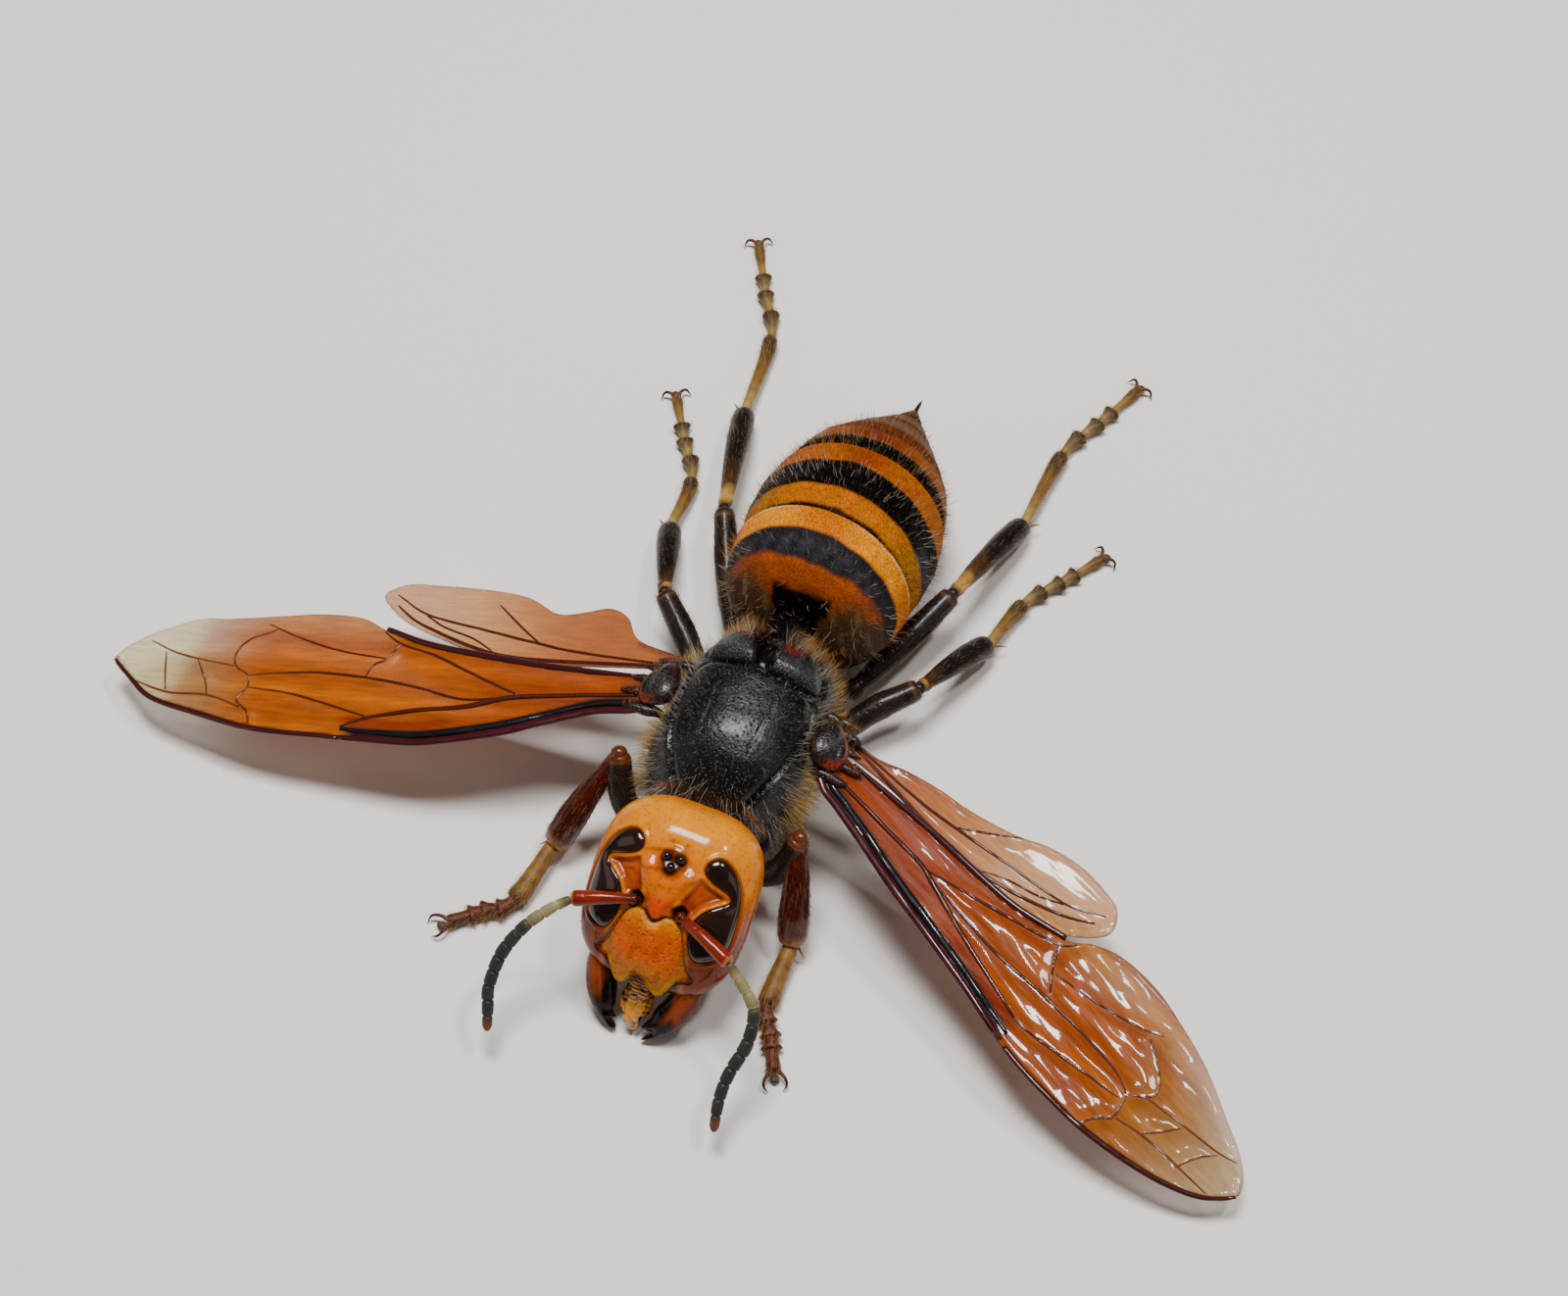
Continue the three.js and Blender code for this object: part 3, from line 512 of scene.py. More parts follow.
def head_place(angle, height, grow=0.0):
    """A place on the head capsule: angle turns from the left side over the face."""
    width = head_width(height)
    y = HEAD_MIDDLE + (HEAD_TALL + grow) * (height - HEAD_MIDDLE) / HEAD_TALL
    shallow = 0.022 * np.minimum(y - 2, 0) ** 2
    x = power(np.cos(angle), HEAD_ROUND) * width * (HEAD_WIDE + grow)
    z = 0.1 - 0.12 * y + power(np.sin(angle), HEAD_ROUND) * width * (HEAD_DEEP - shallow + grow)
    return np.stack([x, y * np.ones_like(x), z], -1)


def head_angle(x, y):
    width = np.maximum(head_width(y), 1e-3)
    return np.arccos(power(np.clip(x / (HEAD_WIDE * width), -1, 1), 1 / HEAD_ROUND))


def clypeus_height(x, y):
    return -1.05 + 4.5 * np.sqrt(np.clip(1 - (x / HEAD_WIDE) ** 2 - ((y - 0.5) / 8.66) ** 2, 0.01, 1))


EYE_LINE = loop([
    (2.15, 4.35), (2.3, 4.85), (2.85, 5.2), (3.55, 5.0), (4.25, 4.35), (4.75, 3.4), (5.0, 2.3), (5.08, 0.8),
    (5.0, -0.5), (4.55, -1.35), (3.9, -1.75), (3.25, -1.85), (2.8, -1.4), (2.5, -0.5), (2.45, 0.5),
    (2.65, 1.2), (3.1, 1.8), (3.75, 2.25), (4.25, 2.6), (4.15, 2.95), (3.6, 3.25), (2.85, 3.6), (2.35, 3.95),
], 110)
CLYPEUS_HALF = [
    (0.35, 0.2), (0.75, 0.58), (1.3, 0.6), (1.8, 0.25), (2.15, -0.35), (2.45, -1.2), (2.75, -2.1), (3.15, -2.75),
    (3.5, -3.15), (3.3, -3.55), (2.75, -3.65), (2.35, -4.1), (2.1, -4.6), (1.75, -5.15), (1.3, -5.3), (0.85, -5.0),
    (0.45, -4.6),
]
CLYPEUS_LINE = loop([(0, 0.02)] + CLYPEUS_HALF + [(0, -4.5)] + mirrored(CLYPEUS_HALF), 150)
SHIELD_LINE = loop([
    (-2.0, 3.7), (-1.6, 2.8), (-1.15, 1.9), (-0.85, 1.1), (-0.5, 0.35), (0, 0.05), (0.5, 0.35), (0.85, 1.1),
    (1.15, 1.9), (1.6, 2.8), (2.0, 3.7), (1.2, 4.6), (0, 5.0), (-1.2, 4.6),
], 80)
SINUS_LINE = loop([
    (2.1, 3.75), (3.0, 3.35), (3.9, 3.05), (4.2, 2.7), (3.6, 2.3), (2.95, 1.8), (2.5, 1.15), (2.0, 0.8),
    (1.25, 1.0), (1.3, 1.9), (1.75, 2.9),
], 60)
SOCKET_PLACE = (1.5, 1.0)
OCELLI = ((-0.42, 4.32, 0.29), (0.52, 4.36, 0.29), (0.05, 3.74, 0.31))


def face_marks(x, y):
    """Distances inside the face's lines, and from the middle of the antenna's socket."""
    side = np.abs(x)
    return (edge_distance(EYE_LINE, side, y), edge_distance(SINUS_LINE, side, y), edge_distance(SHIELD_LINE, x, y),
            edge_distance(CLYPEUS_LINE, x, y), np.hypot(side - SOCKET_PLACE[0], y - SOCKET_PLACE[1]))


def face_relief(x, y):
    """How far the face stands out of the plain capsule, in millimetres."""
    eye, sinus, shield, clypeus, socket = face_marks(x, y)
    ocelli = np.hypot(x, y - 4.15)
    low = ease(4.4, 3.2, y)
    out = -0.4 * ease(-0.02, 0.25, eye) + 0.1 * hump(eye, -0.14, 0.12)
    out += -0.3 * ease(0.0, 0.5, sinus) + 0.13 * hump(sinus, 0.62, 0.13) * ease(1.0, 1.6, y)
    out += 0.08 * hump(sinus, -0.06, 0.1) * ease(0.5, 0.0, eye)
    out += 0.34 * ease(-0.02, 0.4, shield) * low - 0.05 * hump(shield, -0.1, 0.1) * low
    out += 0.1 * hump(x, 0, 0.45) * ease(2.0, 1.2, y) * ease(-0.2, 0.5, shield)
    out += -0.07 * hump(x, 0, 0.06) * ease(1.8, 2.2, y) * ease(3.6, 3.2, y)
    out += -0.3 * ease(-0.05, 0.25, clypeus)
    out += -0.45 * ease(0.62, 0.3, socket) + 0.12 * hump(socket, 0.66, 0.12)
    out += 0.12 * ease(1.3, 0.4, ocelli) - 0.06 * hump(ocelli, 1.1, 0.2)
    return out + 0.03 * ripple(x * 1.3, y * 1.3, 3)


def head_tint(x, y, front):
    side = np.abs(x)
    eye, sinus, shield, clypeus, socket = face_marks(x, y)
    specks = ease(0.25, 0.85, ripple(x * 5.5, y * 5.5, 5)) * ease(2.1, 2.7, y) * ease(5.6, 4.6, y)
    creases = ease(0.1, 0.8, ripple(x * 2.6 + y, y * 5.5, 6)) * ease(0.0, 0.3, sinus)
    smudges = [ease(reach, inner, np.hypot(x - across, y - up)) for reach, inner, across, up in (
        (0.62, 0.3, -0.42, 4.3), (0.62, 0.3, 0.52, 4.35), (0.66, 0.34, 0.05, 3.72))]
    dashes = np.maximum(hump(x + 0.45, 0, 0.12), hump(x - 0.6, 0, 0.1)) * hump(y, 5.35, 0.14)
    return tinted("#de7a00", x.shape, [
        ("#e68c00", ease(4.4, 6.6, y) * front),
        # painted shade: the outer sides of the head darken towards the silhouette
        ("#a43e00", ease(4.0, 5.2, side) * ease(3.6, 0.6, y)),
        ("#7c2a00", ease(1.2, -0.8, y) * ease(2.4, 3.2, side)),
        # painted shade: near black in the mouth's cavity, behind the clypeus and jaws
        ("#1c0703", ease(-1.8, -2.8, y) * ease(3.0, 2.4, side)),
        ("#d86800", ease(-0.3, 0.5, shield) * front),
        ("#8a3208", specks * ease(2.2, 1.2, side) * 0.7 * front),
        ("#cc4608", ease(2.2, 1.3, y) * ease(-0.05, 0.15, shield) * front),
        ("#a8440c", ease(-0.1, 0.3, sinus) * front),
        ("#86280a", creases * 0.6 * front),
        ("#8c2a0b", ease(2.2, 1.6, side) * ease(-0.05, 0.2, sinus) * front),
        ("#e39030", hump(sinus, 0.05, 0.12) * ease(2.3, 1.5, y) * ease(0.1, 0.6, eye + 0.5) * front),
        ("#5a1a04", ease(1.25, 0.5, np.hypot(x - 0.05, y - 4.1)) * 0.85 * front),
        ("#220803", np.max(smudges, axis=0) * front),
        ("#7a2a08", dashes * front),
        ("#3a0f06", ease(0.6, 0.4, socket) * front),
        ("#4a1406", hump(socket, 0.35, 0.5) * 0.6 * front),
        ("#7a3208", hump(eye, 0.0, 0.09) * 0.9 * front),
        ("#3a1006", hump(clypeus, 0.0, 0.12) * front),
    ])


def make_head():
    rows, columns = ((170, 260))
    height = HEAD_MIDDLE - HEAD_TALL * np.cos(np.linspace(0.03, math.pi - 0.03, rows))[:, None]
    angle = turns(columns)
    base = head_place(angle + 0 * height, height + 0 * angle)
    x, y = base[..., 0], base[..., 1]
    front = ease(-0.15, 0.25, np.sin(angle) + 0 * height)
    grid = base + normals(base) * (face_relief(x, y) * front)[..., None]
    mesh = Mesh().tube(face_to_body(grid), head_tint(x, y, front))
    fur = 0.25 + 0.75 * ease(4.5, 6.0, y) + 0.6 * ease(4.6, 5.4, np.abs(x))
    fur = fur * ease(-0.1, -0.4, edge_distance(EYE_LINE, np.abs(x), y) * front)
    head = piece("head_capsule", mesh, AMBER, "amber_cuticle", ["head"],
                 extra=coat_of(with_ends(fur), (0, -0.6, 0.3), "#241008"))
    for name in SIDES:
        make_eye(name)
        make_mandible(name)
    make_clypeus()
    make_mouth()
    beads = Mesh()
    for x, y, r in OCELLI:
        centre = head_place(head_angle(np.array(x), np.array(y)), np.array(y), 0.2)
        grid = ball(centre, (r, r, r), 14, 20)
        beads.tube(face_to_body(grid), tinted("#1a0a06", grid.shape[:2]))
    piece("ocelli", beads, CORNEA, "eye_cuticle")
    return head


EYE_STRETCH = 5.0  # millimetres of the eye's flat sheet for each radian round the head
EYE_SINK, EYE_RISE, EYE_WALL = 0.12, 0.3, 0.4


def make_eye(name):
    ring = np.stack([head_angle(EYE_LINE[:, 0], EYE_LINE[:, 1]) * EYE_STRETCH, EYE_LINE[:, 1]], 1)[::-1]

    def surface(u, v, grow):
        p = head_place(u / EYE_STRETCH, v, grow)
        p[..., 0] *= SIDES[name]
        return face_to_body(p)

    def top(u, v, depth):
        return surface(u, v, -EYE_SINK + EYE_RISE * dome(depth, 0.9))

    def under(u, v, depth):
        return surface(u, v, -EYE_SINK - EYE_WALL * np.clip(depth / 0.5, 0, 1))

    def tint(u, v, depth):
        return tinted("#1d0d08", u.shape, [
            ("#3a1a0c", ease(0.5, 0.0, depth) * 0.8),
            ("#2c160f", 0.5 + 0.5 * ripple(u * 2, v * 2, 8)),
        ])

    mesh = Mesh().lens(ring, 0.1, top, under, tint)
    piece(f"eye_lens_{name}", mesh, CORNEA, "eye_cuticle", [f"eye_{name}"])


def make_clypeus():
    def top(x, y, depth):
        rim = 0.1 * hump(depth, 0.2, 0.12) * ease(-3.2, -4.4, y)
        rim = rim - 0.08 * hump(depth, 0.55, 0.16) * ease(-2.5, -3.5, y)
        crown = 0.22 * hump(np.hypot(x, (y + 1.9) * 0.8), 0, 1.9)
        z = clypeus_height(x, y) - 0.25 + 0.3 * dome(depth, 0.5) + rim + crown + 0.03 * ripple(x * 1.6, y * 1.6, 12)
        return face_to_body(np.stack([x, y, z], -1))

    def under(x, y, depth):
        z = clypeus_height(x, y) - 0.2 - 0.6 * np.clip(depth / 0.5, 0, 1)
        return face_to_body(np.stack([x, y, z], -1))

    def tint(x, y, depth):
        notch = ease(0.75, 0.25, np.hypot(x * 0.8, y + 4.45))
        return tinted("#cd5402", x.shape, [
            ("#d67a04", ease(-0.9, 0.3, y)),
            ("#b86a02", ease(-2.2, -4.2, y) * 0.95),
            ("#a87004", ease(0.8, 0.15, depth) * ease(-1.2, -2.4, y)),
            ("#8e3602", ease(0.2, 0.9, ripple(x * 4, y * 1.6, 16)) * ease(-0.4, -1.2, y) * 0.45),
            # painted highlight: a pale cream patch in the notch at the clypeus's top
            ("#e4a040", ease(0.3, 0.1, np.hypot(x, y - 0.1) - 0.35) * 0.45),
            ("#3c1004", np.maximum(notch, ease(0.14, 0.02, depth) * ease(-3.2, -4.2, y))),
            ("#4a1404", ease(0.12, 0.0, depth)),
        ])

    mesh = Mesh().lens(CLYPEUS_LINE, 0.08, top, under, tint)
    piece("clypeus_shell", mesh, CLYPEUS_SHELL, "clypeus_cuticle", ["clypeus"])


JAW_LINES = {
    "left": [
        (3.45, -3.55), (4.0, -4.2), (4.02, -5.2), (3.8, -6.2), (3.4, -7.15), (2.75, -8.05), (1.95, -8.75),
        (0.85, -9.32), (1.1, -8.85), (1.5, -8.45), (1.1, -8.5), (0.62, -8.42), (0.82, -8.0), (1.1, -7.4),
        (1.25, -6.7), (1.65, -5.9), (2.0, -5.1), (2.35, -4.3), (2.85, -3.75),
    ],
    "right": [
        (-3.3, -3.5), (-3.95, -4.1), (-4.15, -4.9), (-4.02, -5.9), (-3.75, -6.9), (-3.2, -7.9), (-2.5, -8.65),
        (-1.9, -9.05), (-1.2, -9.32), (-1.05, -9.0), (-1.4, -8.72), (-1.45, -8.52), (-1.22, -8.38),
        (-1.55, -8.0), (-1.5, -7.4), (-1.65, -6.6), (-1.85, -5.7), (-2.1, -4.9), (-2.5, -4.1),
    ],
}
JAW_RIM = 0.95


def make_mandible(name):
    ring = loop(JAW_LINES[name], 120)

    def surface(x, y, depth, reach, groove=0.0):
        """The jaw's plate, which sinks and thins towards its tip."""
        to_tip = np.clip((-4.5 - y) / 5, 0, 1)
        z = 0.5 - 0.35 * to_tip + reach * (1.25 - 0.8 * to_tip) * dome(depth, JAW_RIM) - groove
        return face_to_body(np.stack([x, y, z], -1))

    def top(x, y, depth):
        groove = 0.1 * hump(np.abs(x) - 2.7 - 0.25 * (y + 6.5), 0, 0.16) * ease(-7.6, -6.6, y)
        return surface(x, y, depth, 1, groove)

    def under(x, y, depth):
        return surface(x, y, depth, -0.9)

    def tint(x, y, depth):
        side = np.abs(x)
        edge = depth + 0.12 * ripple(x * 3, y * 3, 31)
        inner = ease(1.0, 0.55, edge) * ease(2.9, 2.3, side + 0.25 * (y + 6.5)) * ease(-4.6, -5.4, y)
        return tinted("#611d04", x.shape, [
            ("#923c05", hump(side - 3.0 - 0.3 * (y + 5.8), 0, 0.55) * ease(-8.2, -5.6, y)),
            ("#2c0b03", ease(-6.4, -8.2, y) * 0.9),
            ("#060201", np.maximum(inner, ease(-7.9, -8.5, y))),
            # painted shade: a dark patch at the jaw's inner base, in the gap beside the clypeus
            ("#140604", ease(0.8, 0.4, np.hypot(side - 2.3, y + 4.1)) * 0.85),
            ("#3a1206", ease(0.16, 0.02, depth) * 0.7),
        ])

    mesh = Mesh().lens(ring, 0.09, top, under, tint)
    piece(f"jaw_{name}", mesh, JAW, "mandible_cuticle", [f"mandible_{name}"])


MOUTH_LOBES = [
    # the path, its thickest radius and the seed of its folds
    ([(-0.15, -4.6, 0.2), (-0.35, -6.4, 0.55), (-0.25, -7.7, 0.45), (0.0, -8.85, 0.1)], 0.55, 21),
    ([(0.05, -4.6, 0.2), (0.2, -6.2, 0.6), (0.15, -7.6, 0.5), (0.1, -8.8, 0.1)], 0.5, 22),
    ([(-0.5, -4.7, 0.1), (-0.85, -6.2, 0.4), (-0.85, -7.2, 0.3), (-0.5, -8.0, 0.1)], 0.38, 23),
    ([(0.45, -4.7, 0.1), (0.62, -6.1, 0.35), (0.6, -7.1, 0.3), (0.4, -8.1, 0.1)], 0.34, 24),
    ([(-0.2, -4.4, 0.9), (-0.3, -5.6, 1.1), (-0.2, -6.5, 0.8)], 0.5, 25),
    ([(0.2, -4.4, 0.9), (0.25, -5.6, 1.1), (0.15, -6.5, 0.8)], 0.45, 26),
]
LOBE_STATIONS = ((0, 0.7), (0.35, 1), (0.75, 0.85), (0.95, 0.45), (1, 0.15))


def make_mouth():
    mesh = Mesh()
    rows, sides = 60, 20
    for path, radius, seed in MOUTH_LOBES:
        def folds(share, angle, seed=seed):
            return 1 + 0.2 * ripple(share * 20, angle * 1.5, seed) + 0.1 * np.sin(share * 60)

        stations = [(at, radius * part) for at, part in LOBE_STATIONS]
        grid = rings([face_to_body(array(p)) for p in path], stations, rows, sides, 0.75, shape=folds)
        share = shares_along(rows, sides)
        mesh.tube(grid, tinted("#dc8a08", share.shape, [
            # painted shade: dark in the hollows of the folds, where the same ripple sinks the surface
            ("#3c1204", ease(0.0, 0.6, -ripple(share * 20, turns(sides) * 1.5, seed))),
            ("#3a1408", ease(0.3, 0.0, share)),
        ]))
    piece("mouth_folds", mesh, TONGUE, "mouthparts", ["mouthparts"])


# Antennae

SCAPE_ENDS = {"right": (-5.43, -14.21, 9.4), "left": (5.85, -14.5, 9.4)}
FLAGELLA = {
    "right": [
        (-5.45, -14.25, 9.38), (-5.67, -14.48, 9.3), (-6.62, -15.36, 8.9), (-7.78, -16.68, 8.0),
        (-8.7, -18.42, 6.6), (-8.91, -20.24, 5.0), (-8.62, -21.17, 4.2), (-8.16, -22.5, 3.1),
    ],
    "left": [
        (5.87, -14.52, 9.36), (6.1, -14.7, 9.2), (7.75, -15.7, 8.1), (8.4, -16.5, 7.3), (8.5, -18.0, 6.0),
        (8.0, -19.9, 4.7), (7.95, -21.4, 3.7), (8.28, -23.09, 2.6),
    ],
}
FLAGELLOMERES = 11
# Stations along the antenna's parts: share of the length, and radius
SCAPE = [(0, 0.26), (0.03, 0.36), (0.07, 0.4), (0.1, 0.3), (0.14, 0.34), (0.5, 0.45), (0.9, 0.55), (0.96, 0.53),
         (1, 0.36)]
FLAGELLUM = [(0, 0.3), (0.09, 0.36), (0.2, 0.4), (0.5, 0.45), (0.85, 0.41), (0.97, 0.33), (1, 0.16)]


def make_scape(name):
    rows, sides = 80, 24
    start = face_to_body(array([SIDES[name] * 1.42, 1.0, 3.15]))
    end = array(SCAPE_ENDS[name])
    grid = rings([start, start + (end - start) * 0.5 + array([0, 0, 0.18]), end], SCAPE, rows, sides)
    share = shares_along(rows, sides)
    mesh = Mesh().tube(grid, tinted("#7a2008", share.shape, [
        ("#4c1208", ease(0.3, 0.02, share)),
        ("#b06a3a", hump(share, 0.975, 0.02)),
    ]))
    piece(f"scape_shell_{name}", mesh, POLISHED, "scape_cuticle", [f"scape_{name}"])


def bead_share(share):
    """How far along its own bead each place of the flagellum is."""
    joint = share * FLAGELLOMERES
    return joint - np.floor(joint)


def make_flagellum(name):
    rows, sides = 230, 18

    def beads(share, angle):
        inside = bead_share(share)
        return 1 - 0.22 * (hump(inside, 0, 0.09) + hump(inside, 1, 0.06)) + 0.05 * (inside - 0.5)

    grid = rings(FLAGELLA[name], FLAGELLUM, rows, sides, shape=beads)
    share = shares_along(rows, sides)
    inside = bead_share(share)
    mesh = Mesh().tube(grid, tinted("#2b2a27", share.shape, [
        ("#8d8058", ease(0.32, 0.2, share)),
        ("#5a4a30", hump(share, 0.02, 0.04)),
        ("#b3a377", hump(inside, 0.97, 0.1) * ease(0.4, 0.2, share)),
        ("#0d0c0b", hump(inside, 0.0, 0.06) * ease(0.15, 0.3, share)),
        ("#6b3a22", ease(0.9, 0.97, share) * 0.8),
    ]))
    piece(f"flagellum_chain_{name}", mesh, PORED, "flagellum_cuticle", [f"flagellum_{name}"])


# Thorax: one black skin with its plates raised and its seams sunk

THORAX_MIDDLE, THORAX_HALF, THORAX_HEIGHT = 1.65, 7.95, 7.6
# Half width, half depth, and how square the thorax is along and round
THORAX_WIDE, THORAX_DEEP, THORAX_SQUARE, THORAX_ROUND = 5.5, 5.3, 2.4, 0.91


def thorax_place(angle, share):
    """A place on the thorax: share runs from -1 at the neck to 1 at the waist."""
    width = super_width(share, THORAX_SQUARE)
    y = THORAX_MIDDLE + THORAX_HALF * share
    sunk = 0.055 * np.minimum(y, 0) ** 2
    shoulder = 1 + 0.02 * np.clip(1.5 - y, 0, 4)
    x = power(np.cos(angle), THORAX_ROUND) * width * (THORAX_WIDE * shoulder)
    z = THORAX_HEIGHT - sunk + power(np.sin(angle), THORAX_ROUND) * width * THORAX_DEEP
    return np.stack([x, y * np.ones_like(x), z], -1)


SCUTUM_HALF = [(1.6, -4.9), (2.5, -4.1), (3.2, -3.0), (3.85, -1.5), (4.25, 0), (4.45, 1.6), (4.4, 3.0), (4.0, 4.0),
               (3.2, 4.4), (1.6, 4.5)]
SCUTELLUM_HALF = [(1.6, 4.72), (3.1, 4.65), (4.0, 4.85), (4.15, 5.7), (3.75, 6.8), (2.8, 7.7), (1.4, 8.15)]
SCUTUM_LINE = loop([(0, -5.3)] + SCUTUM_HALF + [(0, 4.6)] + mirrored(SCUTUM_HALF), 90)
SCUTELLUM_LINE = loop([(0, 4.8)] + SCUTELLUM_HALF + [(0, 8.25)] + mirrored(SCUTELLUM_HALF), 80)


def cleft(x, y):
    """How far a place is from the groove that splits the scutellum aslant."""
    return np.abs(x + 0.12 * (y - 5))


def collar(x, y):
    return y + 4.15 + 0.09 * (np.abs(x) - 2.5)


def thorax_relief(x, y, z, top):
    scutum, scutellum = edge_distance(SCUTUM_LINE, x, y), edge_distance(SCUTELLUM_LINE, x, y)
    side, flank = np.abs(x), 1 - top
    out = top * (0.3 * ease(-0.05, 0.6, scutum) - 0.36 * hump(scutum, -0.05, 0.12))
    out += top * (0.45 * ease(0.0, 0.9, scutellum) - 0.4 * hump(scutellum, -0.05, 0.15))
    split = ease(0.8 + 0.12 * (y - 5), 0.2 + 0.1 * (y - 5), cleft(x, y)) * ease(4.6, 5.4, y) * ease(9.3, 8.6, y)
    out += -0.95 * top * split
    out += -0.06 * top * hump(side, 1.75 + 0.06 * y, 0.07) * ease(-2, -1, y) * ease(4.2, 3.4, y)
    out += 0.03 * top * hump(x, 0, 0.08) * ease(-4.8, -4.0, y) * ease(-1.0, -2.2, y)
    out += top * 0.16 * hump(collar(x, y), 0, 0.16) * ease(2.2, 2.8, side)
    out += -0.22 * flank * hump(z, 5.5 + 0.22 * y, 0.12) * ease(1.0, 0.4, y)
    out += -0.25 * hump(y, 6.4 + 0.12 * (z - 8), 0.13) * ease(0.6, 0.2, top)
    out += -0.2 * flank * hump(y, 1.0 + 0.25 * (z - 7), 0.12)
    out += -0.15 * flank * hump(z, 7.4, 0.1) * ease(1.2, 1.8, y) * ease(6.4, 5.8, y)
    return out + 0.035 * ripple(x * 1.1, y * 1.1 + z, 14)


def thorax_tint(x, y, z, top):
    scutum, scutellum = edge_distance(SCUTUM_LINE, x, y), edge_distance(SCUTELLUM_LINE, x, y)
    side = np.abs(x)
    split = ease(1.05 + 0.12 * (y - 5), 0.4 + 0.1 * (y - 5), cleft(x, y)) * ease(4.6, 5.4, y)
    right = ease(1.1, 0.5, np.hypot((x - 1.35) / 1.05, (y - 6.95) / 0.75))
    left = ease(1.1, 0.5, np.hypot((x + 1.75 - 0.2 * (y - 7)) / 0.75, (y - 7.4) / 0.95))
    return tinted("#040405", x.shape, [
        ("#0e0d0f", 0.4 + 0.4 * ripple(x * 2.2, y * 2.2 + z, 17)),
        ("#2c2d30", ease(0.1, 0.8, scutellum) * ease(6.9, 5.6, y) * top),
        ("#262526", ease(-0.15, -0.6, scutum) * ease(0.6, -0.4, y) * top * 0.9),
        ("#521808", np.maximum(right, left) * top * 0.85),
        # painted shade: black in the groove round the scutum and in the cleft down the scutellum
        ("#010101", hump(scutum, -0.05, 0.2) * top),
        ("#010101", split * top),
        ("#7c4f26", hump(collar(x, y), -0.15, 0.16) * ease(2.2, 3.0, side) * top),
        ("#2e1a10", ease(7.6, 9.2, y) * ease(0.9, 1.7, side) * 0.8),
    ])


def make_thorax():
    rows, columns = ((180, 240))
    share = -np.cos(np.linspace(0.04, math.pi - 0.04, rows))[:, None]
    angle = turns(columns)
    base = thorax_place(angle + 0 * share, share + 0 * angle)
    top = ease(0.12, 0.45, np.sin(angle) + 0 * share)
    x, y, z = base[..., 0], base[..., 1], base[..., 2]
    grid = base + normals(base) * thorax_relief(x, y, z, top)[..., None]
    mesh = Mesh().tube(grid, thorax_tint(x, y, z, top))
    neck = rings([tuple(face_to_body(array([0, 0.9, -1.9]))), (0.03, -6.4, 5.9), (0.05, -4.6, 5.9)],
                 [(0, 1.2), (0.5, 1.05), (1, 1.5)], 20, 24)
    mesh.tube(neck, tinted("#1a1210", neck.shape[:2]))
    rim = ease(3.9, 5.3, np.abs(x)) + ease(6.2, 8.2, y) + 0.2 * ease(-3.0, -4.6, y)
    fur = np.clip(rim, 0.0, 1.3) * ease(2.5, 4.5, z) * ease(-0.5, 0.1, np.sin(angle))
    fur *= 1 - ease(1.3, 0.9, cleft(x, y)) * ease(4.4, 5.0, y) * top
    bare = with_ends(np.zeros(neck.shape[:2]))
    fur = np.concatenate([with_ends(fur), bare])
    short = np.concatenate([with_ends(top * ease(0.9, 0.3, rim)), bare])
    x, y, z = np.vstack(mesh.places).T
    lie = unit(np.stack([x * 0.12, (y - THORAX_MIDDLE) * 0.12 + 0.3, -0.15 + 0 * fur], 1))
    coat = tinted("#c9a04c", fur.shape, [
        ("#8a5626", ease(5.0, 8.5, y) * 0.8),
        ("#3a2a1c", ease(0.0, 0.6, ripple(x * 2.5, y * 2.5 + z, 19)) * 0.8),
        ("#2a241c", ease(5.2, 4.4, np.abs(x)) * ease(6.2, 5.4, y) * 0.8),
        ("#a39b8c", short),
    ])
    return piece("thorax_skin", mesh, BLACK, "black_cuticle",
                 ["mesoscutum", "scutellum", "propodeum", "pronotum", "mesopleura"],
                 extra={"fur": fur, "short": short, "lie": lie, "coat": coat})


WING_ROOT_PLATES = [
    # two ends of each plate, how wide and how thick it is, and its colour
    ((5.2, 3.8, 9.9), (7.9, 3.3, 9.7), 0.42, 0.3, "#1a0f0c"),
    ((5.4, 2.6, 9.9), (8.3, 2.3, 9.8), 0.38, 0.32, "#2b120c"),
    ((5.4, 1.5, 9.9), (8.7, 1.15, 9.8), 0.4, 0.34, "#3a150c"),
    ((5.3, 0.4, 9.7), (8.1, 0.1, 9.7), 0.46, 0.4, "#241012"),
    ((5.2, 4.6, 9.6), (7.3, 4.4, 9.4), 0.34, 0.26, "#4a2412"),
    ((4.6, 4.4, 10.1), (6.5, 4.1, 9.9), 0.4, 0.3, "#1f1412"),
]


TEGULA_HALF, TEGULA_PLACE, TEGULA_LEAN = (1.3, 1.85, 0.85), (6.1, 1.95, 10.55), math.radians(24)


